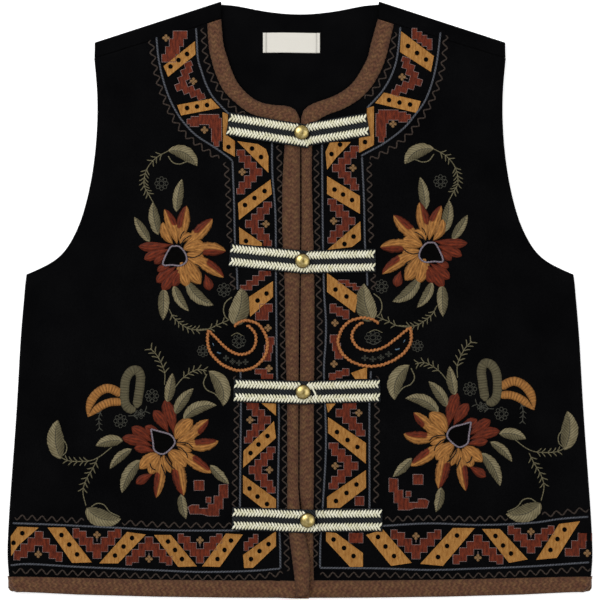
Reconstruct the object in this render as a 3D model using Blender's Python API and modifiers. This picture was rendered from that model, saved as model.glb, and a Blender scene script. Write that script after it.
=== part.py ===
"""A folk vest of black velvet, laid flat on its back with its fronts fastened.

The wearer's right front is on the left as seen from above. +X runs towards the wearer's left side, +Y towards the
neck and +Z up from the surface that the vest lies on. The origin is in the middle of the outline, on that surface.

Every piece is drawn as a tailor would: "out" is the distance from the centre line, "down" is the distance below the
high point of the shoulder, both in millimetres. A panel is a grid of such points, one row for each section from its
neck or front edge to its armhole or side edge, and it gets its thickness from Solidify. The braids and the hem are
made from the same sections, moved out.
"""

from math import cos, pi, sin

import bmesh
import bpy
from mathutils import Matrix, Vector

MM = 0.001

# Driving sizes of the cloth, in millimetres
LENGTH = 537.3  # high shoulder point to the hem, at the centre
WALL = 1.8  # velvet with its lining, pressed flat
SEAM = 0.3  # air at a seam, and under whatever lies on a panel

# Heights of the layers above the surface, in millimetres
BACK_MID = WALL / 2
FRONT_MID = BACK_MID + WALL + SEAM
FRONT_TOP = FRONT_MID + WALL / 2
BRAID_HEIGHT = 1.7
BRAID_BASE = FRONT_TOP + SEAM
BRAID_TOP = BRAID_BASE + BRAID_HEIGHT
LAP_LIFT = BRAID_TOP + SEAM - (FRONT_MID - WALL / 2)  # how far the lapping front rises over the other one

# The side fold: front and back turn towards each other and meet at the side seam
ROLL_OUT = 2.6  # how far the middle of the wall bulges sideways in the fold
ROLL_UP = 2.2  # how far it turns up or down in the fold
ROLL_END = 0.4  # straight stretch from the fold to the middle of the seam
SIDE_SEAM_HEIGHT = BACK_MID + ROLL_UP + ROLL_END
FOLD_START = ROLL_OUT + WALL / 2  # distance from the outline where the fold begins
SIDE_SWELL = SIDE_SEAM_HEIGHT + ROLL_END + ROLL_UP - FRONT_MID  # rise of the front beside the fold
ARMHOLE_SWELL = 0.8  # rise of the front's turned edge round the armhole
SWELL_REACH = 25.0
UNDERARM_DOWN = 246.0
WRAP_REACH = 9.0  # length over which the open armhole becomes the closed side
CLOSE_REACH = 16.0  # length over which the seam at the side closes
OPEN_TURN = 0.7  # share of the fold's height where its seam is still open

# The shoulder: the back folds forward over the top and is sewn to the front below it
SHOULDER_NECK = (71.0, 0.0)
SHOULDER_TIP = (184.5, 37.0)
SHOULDER_SEAM_NECK = (71.0, 15.85)
SHOULDER_SEAM_TIP = (185.0, 51.1)
SHOULDER_ROLL = 2.0

# The hem
HEM_INSET = 1.2  # the panels' sides stand back this far under the braid at the side fold
HEM_INSET_DOWN = 509.0
HEM_INSET_REACH = 8.0
HEM_FOLD_HEIGHT = 0.53  # share of the braid's height that is left where it turns under at the side

# The armhole and the side, as half widths of the vest laid flat
OUTLINE = [  # down, out
    (37.0, 184.5),
    (51.0, 185.2),
    (80.0, 182.4),
    (107.0, 182.3),
    (134.0, 184.0),
    (161.0, 187.7),
    (179.0, 191.7),
    (197.0, 196.7),
    (215.0, 204.3),
    (224.0, 210.2),
    (233.0, 218.3),
    (239.5, 228.0),
    (242.5, 235.0),
    (246.0, 246.0),
    (251.0, 246.8),
    (269.0, 248.5),
    (305.0, 251.6),
    (359.0, 254.5),
    (395.0, 257.0),
    (431.0, 259.7),
    (467.0, 262.2),
    (503.0, 263.7),
    (520.0, 263.2),
    (527.0, 261.5),
    (531.5, 257.0),
]

# Where each section of a front meets the armhole or side, and how far it bows below a straight line
FRONT_SIDES = [  # side_down, bow
    (51.6, 0.0),
    (78.0, 0.0),
    (98.0, 0.0),
    (116.0, 0.0),
    (134.0, 0.0),
    (154.0, 0.0),
    (172.0, 0.0),
    (191.0, 0.0),
    (207.0, 0.0),
    (219.0, 0.0),
    (229.0, 0.0),
    (236.0, 0.0),
    (241.0, 0.0),
    (246.0, 0.0),
    (251.0, 0.0),
    (256.0, 0.0),
    (263.0, 0.0),
    (283.0, 0.0),
    (306.0, 0.0),
    (335.0, 0.0),
    (368.0, 0.0),
    (402.0, 0.0),
    (437.0, 0.0),
    (453.0, 0.0),
    (467.0, 0.0),
    (483.0, 0.0),
    (500.0, 0.8),
    (517.7, 1.3),
    (526.5, 1.3),
    (531.5, 1.3),
]

# The wearer's right front: its neck and front edge, and the far edge of the braid along it. A negative "out" lies
# beyond the centre line, where this front laps over the other one.
RIGHT_FRONT_EDGE = [  # edge_out, edge_down, braid_out, braid_down
    (71.0, 16.15, 83.5, 20.1),
    (69.0, 38.0, 82.0, 42.0),
    (65.5, 50.5, 79.0, 55.5),
    (62.0, 61.0, 75.0, 68.0),
    (56.5, 73.0, 68.5, 81.0),
    (47.5, 83.5, 57.5, 92.0),
    (37.0, 90.5, 45.0, 101.0),
    (24.5, 93.5, 30.5, 105.5),
    (12.5, 94.5, 20.5, 108.5),
    (4.5, 98.0, 14.5, 112.0),
    (0.2, 106.0, 12.5, 117.0),
    (-0.2, 123.5, 13.5, 126.0),
    (-0.2, 160.0, 15.7, 161.5),
    (-0.2, 188.0, 16.0, 189.0),
    (-0.2, 202.0, 16.0, 202.5),
    (-0.2, 213.0, 15.7, 213.0),
    (-0.1, 227.0, 15.0, 227.0),
    (0.1, 245.0, 14.2, 245.0),
    (0.5, 269.0, 13.5, 269.0),
    (1.0, 309.5, 13.0, 309.5),
    (1.3, 354.5, 11.8, 354.5),
    (1.4, 395.0, 11.5, 395.0),
    (1.3, 435.5, 11.5, 435.5),
    (0.5, 452.0, 11.5, 452.0),
    (-1.3, 467.0, 11.0, 467.0),
    (-5.0, 483.0, 9.5, 483.0),
    (-8.5, 501.5, 7.0, 502.0),
    (-8.8, 517.5, 5.5, 521.5),
    (-6.5, 529.5, 8.0, 530.5),
    (0.0, 535.5, 11.5, 537.0),
]

# The wearer's left front
LEFT_FRONT_EDGE = [  # edge_out, edge_down, braid_out, braid_down
    (70.0, 16.15, 85.5, 20.8),
    (64.0, 38.0, 81.5, 41.5),
    (61.0, 50.5, 78.0, 55.5),
    (56.0, 60.5, 72.5, 68.0),
    (49.5, 71.0, 65.0, 79.5),
    (41.5, 79.0, 53.5, 90.5),
    (30.5, 85.5, 39.0, 98.5),
    (19.5, 89.5, 25.5, 103.0),
    (10.5, 93.0, 17.0, 107.0),
    (3.8, 98.0, 13.5, 111.5),
    (0.9, 106.0, 11.8, 117.0),
    (1.2, 123.5, 11.0, 126.0),
    (1.4, 160.0, 10.7, 161.5),
    (1.4, 188.0, 11.4, 189.0),
    (1.4, 202.0, 11.6, 202.5),
    (1.2, 213.0, 12.0, 213.0),
    (1.0, 227.0, 12.4, 227.0),
    (0.8, 245.0, 12.7, 245.0),
    (0.5, 269.0, 13.0, 269.0),
    (0.3, 309.5, 13.0, 309.5),
    (-0.2, 354.5, 12.5, 354.5),
    (-0.4, 395.0, 12.5, 395.0),
    (-0.4, 435.5, 12.5, 435.5),
    (0.5, 452.0, 12.2, 452.0),
    (0.7, 467.0, 12.0, 467.0),
    (0.7, 483.0, 12.0, 483.0),
    (0.7, 501.5, 12.0, 502.0),
    (0.7, 517.5, 12.5, 521.5),
    (1.5, 529.5, 12.0, 530.5),
    (6.0, 536.3, 13.0, 537.2),
]
NECK_ROWS = 10  # this section is the corner where the neck edge becomes the front edge
HEM_TOP_ROW = 27  # this section is the upper edge of the hem braid

# The back, from the centre of its neck edge down the centre line, and where its sections meet the side
BACK_SECTIONS = [  # centre_out, centre_down, side_down, bow
    (57.5, 3.6, 55.0, 0.0),
    (38.0, 8.2, 73.0, 0.0),
    (18.0, 11.0, 89.0, 0.0),
    (0.0, 12.0, 105.0, 0.0),
    (0.0, 44.0, 120.5, 0.0),
    (0.0, 80.0, 136.0, 0.0),
    (0.0, 116.0, 156.5, 0.0),
    (0.0, 147.5, 177.0, 0.0),
    (0.0, 174.5, 199.0, 0.0),
    (0.0, 199.0, 221.5, 0.0),
    (0.0, 219.5, 235.0, 0.0),
    (0.0, 235.0, 246.0, 0.0),
    (0.0, 246.0, 251.0, 0.0),
    (0.0, 256.0, 256.0, 0.0),
    (0.0, 268.0, 263.0, 0.0),
    (0.0, 303.0, 295.0, 0.0),
    (0.0, 359.0, 352.0, 0.0),
    (0.0, 413.0, 407.0, 0.0),
    (0.0, 467.0, 462.0, 0.6),
    (0.0, 503.0, 500.0, 1.0),
    (0.0, 521.2, 517.4, 1.3),
]
BACK_HEM_SECTIONS = [  # centre_out, centre_down, side_down, bow
    (0.0, 521.5, 517.7, 1.3),
    (0.0, 530.5, 526.5, 1.3),
    (0.0, 537.3, 531.5, 1.3),
]

# How a panel's columns are spaced along each section
LAP_RAMP = (6.0, 14.0)  # distances past the braid over which the lapping front comes down
INNER_SHARES = (0.25, 0.5, 0.75)  # of the way from the ramp to the swell at the side
BACK_INNER_SHARES = (0.0, 0.2, 0.4, 0.6, 0.8)
SIDE_COLUMNS = (SWELL_REACH + FOLD_START, 11.0)  # distances from the outline
FLAT_EDGE_COLUMNS = (FOLD_START, 2.3, 1.1, 0.0)  # the same round the armhole, where no fold turns
LAP_FROM = 435.5  # distance down at which the right front starts to rise over the left one
LAP_TO = 452.0

# The frog closures. Each is a black band with two cream plaits along it, in two halves that meet at the button.
BAND_HALF_WIDTH = 10.5
PLAIT_INNER = 2.5
PLAIT_OUTER = 9.3
BAND_THICK = 1.0
PLAIT_TOP = 2.2
PLAIT_SLOPE = 0.5  # width of a plait's steep edge
PLAIT_SHOULDER = 0.75  # share of the plait's height at the top of that edge
TONGUE_HALF_WIDTH = 4.5
SQUARE_FROM = 40.0  # past this distance from the centre line a band's sections stand square to it
UPRIGHT_WITHIN = 15.0  # and within this one they stand upright, so that the two halves meet
FROGS = [  # right_out, right_down, left_out, left_down, middle_down, climb, button_x, button_down
    (63.9, 110.7, 60.3, 111.2, 121.2, 33.0, 1.4, 118.6),
    (62.1, 228.6, 67.0, 233.6, 235.0, 17.5, 2.2, 234.0),
    (58.5, 350.6, 71.1, 350.6, 352.4, 17.5, 2.7, 351.6),
    (59.9, 466.0, 72.9, 467.1, 467.6, 17.5, 6.8, 466.6),
]
LOOP_TIP = 7.5  # how far the right half reaches past the centre line
LAPPED_LOOP_TIP = 14.0
LOOP_FOOT = 6.0  # distance over which a loop climbs from the panel on to the braid
LOOP_STEP = (-15.0, -8.0)  # where it then climbs over the tongue
LAPPED_CLIMB = ((-42.0, 0.0), (-27.5, 0.0), (-18.0, 3.4))  # x and height above the panel, on the lap's ramp
LAPPED_STEP = (-12.8, -4.0)
TONGUE_TIP = -6.0  # how far the left half's tongue reaches back under it
LAPPED_TONGUE_TIP = 4.6
TONGUE_NECK = (0.9, 0.5)  # distances past the loop's tip where the band narrows to the tongue
TAB_CLIMB = (44.0, 24.0, 18.0)  # x where the left half lies on the panel twice, and then on the braid

# The buttons
DOME_PROFILE = (  # radius, height above the dome's foot
    (0.0, 4.2),
    (2.3, 3.95),
    (4.3, 3.15),
    (5.7, 1.9),
    (6.4, 0.7),
    (6.2, 0.0),
)
SHANK_RADIUS = 1.5
EYE_RADIUS = 2.4
BUTTON_STEPS = 16

# The woven label inside the back neck
LABEL_SIZE = (51.3, 18.0, 0.7)
LABEL_CENTRE = (-7.7, 37.4)


def table_value(table, at):
    """A value from a two-column table, on a smooth curve through its rows."""
    last = len(table) - 1
    index = max(i for i in range(last) if table[i][0] <= at or i == 0)
    (x0, y0), (x1, y1) = table[index], table[index + 1]
    before = table[max(index - 1, 0)]
    after = table[min(index + 2, last)]
    slope0 = (y1 - before[1]) / (x1 - before[0])
    slope1 = (after[1] - y0) / (after[0] - x0)
    t = min(max((at - x0) / (x1 - x0), 0.0), 1.0)
    width = x1 - x0
    return (
        (2 * t**3 - 3 * t**2 + 1) * y0
        + (t**3 - 2 * t**2 + t) * width * slope0
        + (3 * t**2 - 2 * t**3) * y1
        + (t**3 - t**2) * width * slope1
    )


def smooth_row(table, at):
    """The row of a table at a fractional index, on a Catmull-Rom curve through its rows."""
    last = len(table) - 1
    index = min(int(at), last - 1)
    t = at - index
    rows = [table[min(max(index + k, 0), last)] for k in (-1, 0, 1, 2)]
    weights = (
        (-(t**3) + 2 * t**2 - t) / 2,
        (3 * t**3 - 5 * t**2 + 2) / 2,
        (-3 * t**3 + 4 * t**2 + t) / 2,
        (t**3 - t**2) / 2,
    )
    return tuple(sum(w * r[k] for w, r in zip(weights, rows)) for k in range(len(table[0])))


def ease(value):
    """0 below 0, 1 above 1 and a soft step between."""
    t = min(max(value, 0.0), 1.0)
    return t * t * (3 - 2 * t)


def world(side, out, down, height):
    """A tailor's point in Blender's metres. side is -1 for the wearer's right and 1 for the left."""
    return Vector((side * out, LENGTH / 2 - down, height)) * MM


def wrap_at(down):
    """How far the side is closed: 0 along the armhole, 1 along the side seam."""
    return ease((down - UNDERARM_DOWN) / WRAP_REACH)


def close_at(down):
    """How far the side seam is closed: it stays a little open just below the underarm."""
    return ease((down - UNDERARM_DOWN - WRAP_REACH) / (CLOSE_REACH - WRAP_REACH))


def lap_at(down):
    """How far the wearer's right front has risen to lap over the left one: 0 or 1, and a ramp between."""
    return min(max((down - LAP_FROM) / (LAP_TO - LAP_FROM), 0.0), 1.0)


def fold_columns(wrap, close, bulge):
    """The four columns at the side, as (distance from the outline, turn up or down)."""
    up = ROLL_UP * (OPEN_TURN + (1 - OPEN_TURN) * close)
    turned = (
        (FOLD_START, 0.0),
        (FOLD_START - bulge * sin(pi / 4), up * (1 - cos(pi / 4))),
        (FOLD_START - bulge, up),
        (FOLD_START - bulge, up + ROLL_END - SEAM / 2),
    )
    return [
        (flat + (place - flat) * wrap, turn * wrap)
        for flat, (place, turn) in zip(FLAT_EDGE_COLUMNS, turned)
    ]


def swell_at(distance, wrap):
    """How far the front rises at a distance from the outline, round the armhole or beside the side fold."""
    top = ARMHOLE_SWELL + (SIDE_SWELL - ARMHOLE_SWELL) * wrap
    share = min(max(1 - (distance - FOLD_START) / SWELL_REACH, 0.0), 1.0)
    return top * share * share


def section_point(start, end, bow, share):
    """A point of a section, as (out, down), from its start to its end."""
    out = start[0] + (end[0] - start[0]) * share
    down = start[1] + (end[1] - start[1]) * share
    return out, down + bow * 4 * share * (1 - share)


def hem_inset(down):
    """How far the sides stand back under the hem braid."""
    return HEM_INSET * ease((down - HEM_INSET_DOWN) / HEM_INSET_REACH)


def front_row(edge, sides, lapping):
    """The points of one section of a front, as (out, down, height)."""
    edge_out, edge_down, braid_out, braid_down = edge
    side_down, bow = sides
    side_out = table_value(OUTLINE, side_down) - hem_inset(side_down)
    wrap = wrap_at(side_down)
    lift = LAP_LIFT * lap_at(edge_down) if lapping else 0.0
    start, end = (braid_out, braid_down), (side_out, side_down)
    length = (Vector(end) - Vector(start)).length

    points = [(edge_out, edge_down, FRONT_MID + lift), (braid_out, braid_down, FRONT_MID + lift)]
    for distance in LAP_RAMP:
        share = 1 - ease(distance / LAP_RAMP[-1])
        points.append((*section_point(start, end, bow, distance / length), FRONT_MID + lift * share))
    plain = length - LAP_RAMP[-1] - SWELL_REACH - FOLD_START
    for share in INNER_SHARES:
        distance = LAP_RAMP[-1] + plain * share
        points.append((*section_point(start, end, bow, distance / length), FRONT_MID))
    for from_side in SIDE_COLUMNS:
        place = section_point(start, end, bow, 1 - from_side / length)
        points.append((*place, FRONT_MID + swell_at(from_side, wrap)))
    top = FRONT_MID + swell_at(FOLD_START, wrap)
    for from_side, turn in fold_columns(wrap, close_at(side_down), ROLL_OUT):
        place = section_point(start, end, bow, 1 - from_side / length)
        points.append((*place, top - turn))
    return points


def front_rows(edges, lapping):
    return [front_row(edge, sides, lapping) for edge, sides in zip(edges, FRONT_SIDES)]


def back_row(section, bulge, inset):
    """The points of one section of the back's half, as (out, down, height)."""
    centre_out, centre_down, side_down, bow = section
    side_out = table_value(OUTLINE, side_down) - inset
    start, end = (centre_out, centre_down), (side_out, side_down)
    length = (Vector(end) - Vector(start)).length
    wrap = wrap_at(side_down)
    plain = length - SWELL_REACH - FOLD_START
    points = []
    for share in BACK_INNER_SHARES:
        points.append((*section_point(start, end, bow, plain * share / length), BACK_MID))
    for from_side in SIDE_COLUMNS:
        points.append((*section_point(start, end, bow, 1 - from_side / length), BACK_MID))
    for from_side, turn in fold_columns(wrap, close_at(side_down), bulge):
        points.append((*section_point(start, end, bow, 1 - from_side / length), BACK_MID + turn))
    return points


def shoulder_rows():
    """The sections of the back that turn forward over the shoulder, from the seam in front to the underside."""
    fold_start, fold_end = Vector(SHOULDER_NECK), Vector(SHOULDER_TIP)
    seam_start, seam_end = Vector(SHOULDER_SEAM_NECK), Vector(SHOULDER_SEAM_TIP)
    length = (fold_end - fold_start).length
    plain = length - SWELL_REACH - FOLD_START
    distances = [plain * share for share in BACK_INNER_SHARES]
    distances += [length - from_side for from_side in (*SIDE_COLUMNS, *FLAT_EDGE_COLUMNS)]
    roll_height = BACK_MID + 2 * SHOULDER_ROLL  # of the wall's middle, over the shoulder
    turn_start = SHOULDER_ROLL + WALL / 2

    rows = []
    for reach, rise in ((1.0, 0.0), (0.5, 0.45)):  # on the seam, and halfway from the fold to it
        row = []
        for distance in distances:
            share = distance / length
            fold = fold_start.lerp(fold_end, share)
            place = fold.lerp(seam_start.lerp(seam_end, share), reach)
            beside_front = FRONT_MID + swell_at(length - distance, 0.0)
            row.append((place.x, place.y, beside_front * (1 - rise) + roll_height * rise))
        rows.append(row)
    for turn in (0.0, pi / 4, pi / 2, 3 * pi / 4, pi):
        row = []
        for distance in distances:
            share = distance / length
            fold = fold_start.lerp(fold_end, share)
            inward = (seam_start.lerp(seam_end, share) - fold).normalized()
            place = fold + inward * (turn_start - SHOULDER_ROLL * sin(turn))
            row.append((place.x, place.y, roll_height - SHOULDER_ROLL * (1 - cos(turn))))
        rows.append(row)
    return rows


def material(name, colour, roughness, metallic=0.0):
    made = bpy.data.materials.new(name)
    made.use_nodes = True
    shader = made.node_tree.nodes["Principled BSDF"]
    shader.inputs["Base Color"].default_value = (*colour, 1.0)
    shader.inputs["Roughness"].default_value = roughness
    shader.inputs["Metallic"].default_value = metallic
    made.diffuse_color = (*colour, 1.0)
    return made


def add_object(name, mesh, finish):
    made = bpy.data.objects.new(name, mesh)
    made.data.materials.append(finish)
    vest.objects.link(made)
    return made


def thicken(piece, wall):
    """Gives an open surface its wall, half to each side."""
    solidify = piece.modifiers.new("wall", "SOLIDIFY")
    solidify.thickness = wall * MM
    solidify.offset = 0.0
    solidify.use_even_offset = True
    solidify.use_quality_normals = True


def panel(name, rows, side, finish, mirrored=False):
    """A cloth panel through rows of points, each with the same number of columns."""
    columns = len(rows[0])
    mesh = bpy.data.meshes.new(name)
    grid = bmesh.new()
    bmesh.ops.create_grid(grid, x_segments=columns - 1, y_segments=len(rows) - 1, size=1.0)
    grid.verts.ensure_lookup_table()
    points = [point for row in rows for point in row]
    for vertex, point in zip(grid.verts, points):
        vertex.co = world(side, *point)
    bmesh.ops.recalc_face_normals(grid, faces=grid.faces)
    grid.to_mesh(mesh)
    grid.free()
    mesh.shade_smooth()
    piece = add_object(name, mesh, finish)
    if mirrored:
        mirror = piece.modifiers.new("other half", "MIRROR")
        mirror.merge_threshold = 0.00005
    thicken(piece, WALL)
    return piece


def loft(name, sections, finish):
    """A closed solid through sections, each a ring of the same number of points."""
    count = len(sections[0])
    mesh = bpy.data.meshes.new(name)
    body = bmesh.new()
    rings = [[body.verts.new(point) for point in section] for section in sections]
    for ring, following in zip(rings, rings[1:]):
        for k in range(count):
            body.faces.new((ring[k], ring[(k + 1) % count], following[(k + 1) % count], following[k]))
    body.faces.new(rings[0])
    body.faces.new(rings[-1][::-1])
    bmesh.ops.recalc_face_normals(body, faces=body.faces)
    body.to_mesh(mesh)
    body.free()
    return add_object(name, mesh, finish)


BRAID_PROFILE = (  # the cross section of a braid: share of its width, height above its base
    (0.0, 0.0),
    (0.0, 0.9),
    (0.12, 1.5),
    (0.5, BRAID_HEIGHT),
    (0.88, 1.5),
    (1.0, 0.9),
    (1.0, 0.0),
    (0.5, 0.0),
)


def edge_trim(name, side, edges, first, last, step, lapping):
    """The braid along a neck or front edge, between two sections of the front."""
    sections = []
    steps = round((last - first) / step)
    for k in range(steps + 1):
        edge_out, edge_down, braid_out, braid_down = smooth_row(edges, first + k * step)
        base = BRAID_BASE + (LAP_LIFT * lap_at(edge_down) if lapping else 0.0)
        ring = []
        for share, height in BRAID_PROFILE:
            out = edge_out + (braid_out - edge_out) * share
            down = edge_down + (braid_down - edge_down) * share
            ring.append(world(side, out, down, base + height))
        sections.append(ring)
    return loft(name, sections, braid)


def trim_end(edges, row, gap):
    """The edge table up to a section, which is moved back to leave a gap at the join."""
    shortened = list(edges)
    edge_out, edge_down, braid_out, braid_down = edges[row]
    shortened[row] = (edge_out, edge_down - gap, braid_out, braid_down - gap)
    return shortened


def hem_trim(name, side, rows):
    """The braid on a front's hem: its last sections, moved out, round the side fold as well."""
    top, middle, bottom = ([world(side, *point) for point in row] for row in rows)
    sections = []
    last = len(top) - 1
    for k in range(last + 1):
        before, after = max(k - 1, 0), min(k + 1, last)
        along = middle[after] - middle[before]
        outward = along.cross(bottom[k] - top[k]).normalized() * -side
        squeeze = 1.0 if k < last - 2 else HEM_FOLD_HEIGHT
        ring = []
        for share, height in BRAID_PROFILE:
            place = top[k].lerp(middle[k], share * 2) if share < 0.5 else middle[k].lerp(bottom[k], share * 2 - 1)
            ring.append(place + outward * (WALL / 2 + SEAM + height * squeeze) * MM)
        sections.append(ring)
    return loft(name, sections, braid)


def band_ring(centre, along, base, width, plaits):
    """The cross section of a frog's band at a place: flat below, with a raised plait near each edge above.
    It stands square to the band at its outer end, and upright where the two halves meet."""
    square = Vector((-along.y, along.x))
    upright = Vector((0.0, 1.0 if along.x > 0 else -1.0))
    across = square.lerp(upright, ease((SQUARE_FROM - abs(centre.x)) / (SQUARE_FROM - UPRIGHT_WITHIN)))
    rise = (PLAIT_TOP - BAND_THICK) * plaits
    half = [
        (BAND_HALF_WIDTH, 0.0),
        (BAND_HALF_WIDTH, BAND_THICK),
        (PLAIT_OUTER, BAND_THICK),
        (PLAIT_OUTER - PLAIT_SLOPE, BAND_THICK + rise * PLAIT_SHOULDER),
        ((PLAIT_OUTER + PLAIT_INNER) / 2, BAND_THICK + rise),
        (PLAIT_INNER + PLAIT_SLOPE, BAND_THICK + rise * PLAIT_SHOULDER),
        (PLAIT_INNER, BAND_THICK),
    ]
    ring = [(v, h) for v, h in half] + [(-v, h) for v, h in reversed(half)]
    points = []
    for v, h in ring:
        place = centre + across * v * width
        points.append(Vector((place.x, LENGTH / 2 - place.y, base + h)) * MM)
    return points


def frog_half(name, end, middle, stations):
    """Half of a frog: its band from the outer end towards the middle, through stations of
    (x, base height, share of the width, share of the plaits' height)."""
    outer, inner = Vector(end), Vector(middle)
    along = (inner - outer).normalized()
    rings = []
    for x, base, width, plaits in stations:
        centre = outer.lerp(inner, (x - outer.x) / (inner.x - outer.x))
        rings.append(band_ring(centre, along, base, width, plaits))
    return loft(name, rings, band)


def cut_eye(piece, x, down):
    """The hole in a loop that the button's shank comes up through."""
    bpy.ops.mesh.primitive_cylinder_add(
        vertices=12, radius=EYE_RADIUS * MM, depth=0.04, location=world(1, x, down, 10.0)
    )
    cutter = bpy.context.object
    cutter.name = f"cutter_{piece.name}"
    cutter.hide_render = True
    cutter.display_type = "WIRE"
    for collection in cutter.users_collection:
        collection.objects.unlink(cutter)
    cutters.objects.link(cutter)
    eye = piece.modifiers.new("eye", "BOOLEAN")
    eye.object = cutter
    eye.operation = "DIFFERENCE"


def button(name, x, down, foot, base):
    """A turned brass dome on its shank. foot and base are the heights of the shank's foot and the dome's."""
    shank = base - foot
    profile = [*DOME_PROFILE, (SHANK_RADIUS, 0.0), (SHANK_RADIUS, -shank), (0.0, -shank)]
    mesh = bpy.data.meshes.new(name)
    edges = [(k, k + 1) for k in range(len(profile) - 1)]
    mesh.from_pydata([(r * MM, 0.0, z * MM) for r, z in profile], edges, [])
    piece = add_object(name, mesh, brass)
    piece.location = world(1, x, down, base)
    screw = piece.modifiers.new("turn", "SCREW")
    screw.steps = BUTTON_STEPS
    screw.render_steps = BUTTON_STEPS
    screw.use_merge_vertices = True
    screw.merge_threshold = 0.00005
    return piece


def make_frog(number, row):
    """Both halves of one frog and its button."""
    right_out, right_down, left_out, left_down, middle_down, climb, button_x, button_down = row
    lapped = number == len(FROGS)
    on_panel = FRONT_TOP + SEAM
    on_braid = BRAID_TOP + SEAM
    over_tongue = on_braid + BAND_THICK + SEAM
    middle = (button_x, middle_down)
    if lapped:
        tip, tongue = LAPPED_LOOP_TIP, LAPPED_TONGUE_TIP
        over_loop = on_braid + LAP_LIFT
        climbing = [(x, on_panel + rise) for x, rise in LAPPED_CLIMB]
        climbing += [(x, over_loop) for x in LAPPED_STEP]
    else:
        tip, tongue = LOOP_TIP, TONGUE_TIP
        over_loop = over_tongue
        foot = -climb - LOOP_FOOT
        climbing = [((foot - right_out) / 2, on_panel), (foot, on_panel), (-climb, on_braid)]
        climbing += zip(LOOP_STEP, (on_braid, over_tongue))
    loop = [(x, base, 1, 1) for x, base in ((-right_out, on_panel), *climbing, (tip, over_loop))]
    piece = frog_half(f"frog_loop_{number}", (-right_out, right_down), middle, loop)
    cut_eye(piece, button_x, button_down)

    narrow = TONGUE_HALF_WIDTH / BAND_HALF_WIDTH
    tab_places = zip((left_out, *TAB_CLIMB), (on_panel, on_panel, on_panel, on_braid))
    tab = [(x, base, 1, 1) for x, base in tab_places]
    tab += [
        (tip + TONGUE_NECK[0], on_braid, 1, 1),
        (tip + TONGUE_NECK[1], on_braid, narrow, 0),
        (tongue, on_braid, narrow, 0),
    ]
    frog_half(f"frog_tab_{number}", (left_out, left_down), middle, tab)
    button(f"button_{number}", button_x, button_down, over_tongue, over_loop + PLAIT_TOP + SEAM)


def make_label():
    """The woven label, sewn flat to the inside of the back."""
    width, height, thick = LABEL_SIZE
    place = world(1, LABEL_CENTRE[0], LABEL_CENTRE[1], WALL + SEAM + thick / 2)
    bpy.ops.mesh.primitive_cube_add(size=1.0, location=place)
    piece = bpy.context.object
    piece.name = "label"
    piece.data.transform(Matrix.Diagonal((width * MM, height * MM, thick * MM, 1.0)))
    piece.data.materials.append(tape)
    for collection in piece.users_collection:
        collection.objects.unlink(piece)
    vest.objects.link(piece)
    soft = piece.modifiers.new("soft edge", "BEVEL")
    soft.width = 0.2 * MM
    soft.segments = 1


for old in list(bpy.data.objects):
    bpy.data.objects.remove(old)

vest = bpy.data.collections.new("vest")
cutters = bpy.data.collections.new("cutters")
bpy.context.scene.collection.children.link(vest)
bpy.context.scene.collection.children.link(cutters)

velvet = material("black velvet", (0.006, 0.006, 0.007), 0.9)
braid = material("brown wool braid", (0.085, 0.042, 0.024), 0.85)
band = material("black and cream plaited band", (0.62, 0.57, 0.42), 0.75)
brass = material("brass", (0.62, 0.42, 0.14), 0.3, 1.0)
tape = material("woven label tape", (0.75, 0.71, 0.64), 0.7)

shoulder = shoulder_rows()
back_sections = [back_row(row, ROLL_OUT, hem_inset(row[2])) for row in BACK_SECTIONS]
panel("back", shoulder + back_sections, -1, velvet, mirrored=True)
hem_bulge = ROLL_OUT + HEM_INSET
back_hem = [back_row(row, hem_bulge, HEM_INSET) for row in BACK_HEM_SECTIONS]
panel("back_hem_braid", back_hem, -1, braid, mirrored=True)

for hand, wearer_side, front_edges, laps in (
    ("right", -1, RIGHT_FRONT_EDGE, True),
    ("left", 1, LEFT_FRONT_EDGE, False),
):
    front = front_rows(front_edges, laps)
    panel(f"front_{hand}", front, wearer_side, velvet)
    neck_edges = trim_end(front_edges, NECK_ROWS, SEAM)
    edge_trim(f"neck_braid_{hand}", wearer_side, neck_edges, 0, NECK_ROWS, 0.5, laps)
    down_edges = trim_end(front_edges, HEM_TOP_ROW, SEAM)
    edge_trim(f"edge_braid_{hand}", wearer_side, down_edges, NECK_ROWS, HEM_TOP_ROW, 1, laps)
    hem_trim(f"hem_braid_{hand}", wearer_side, front[HEM_TOP_ROW:])

for frog_number, frog_row in enumerate(FROGS, start=1):
    make_frog(frog_number, frog_row)
make_label()
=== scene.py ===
# %% [markdown]
# # A black velvet folk vest, laid flat
#
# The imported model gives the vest's true form: velvet panels, wool braid, frog closures and buttons. This lesson lays
# the finish over it, from the velvet up to the last stitch of the embroidery. Blender's unit is the metre, and the
# tables below are in millimetres. The neck points to +Y and the camera looks straight down.

# %% Load the frame
import math

import bmesh
import bpy
import numpy as np
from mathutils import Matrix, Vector, noise
from mathutils.bvhtree import BVHTree


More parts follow.
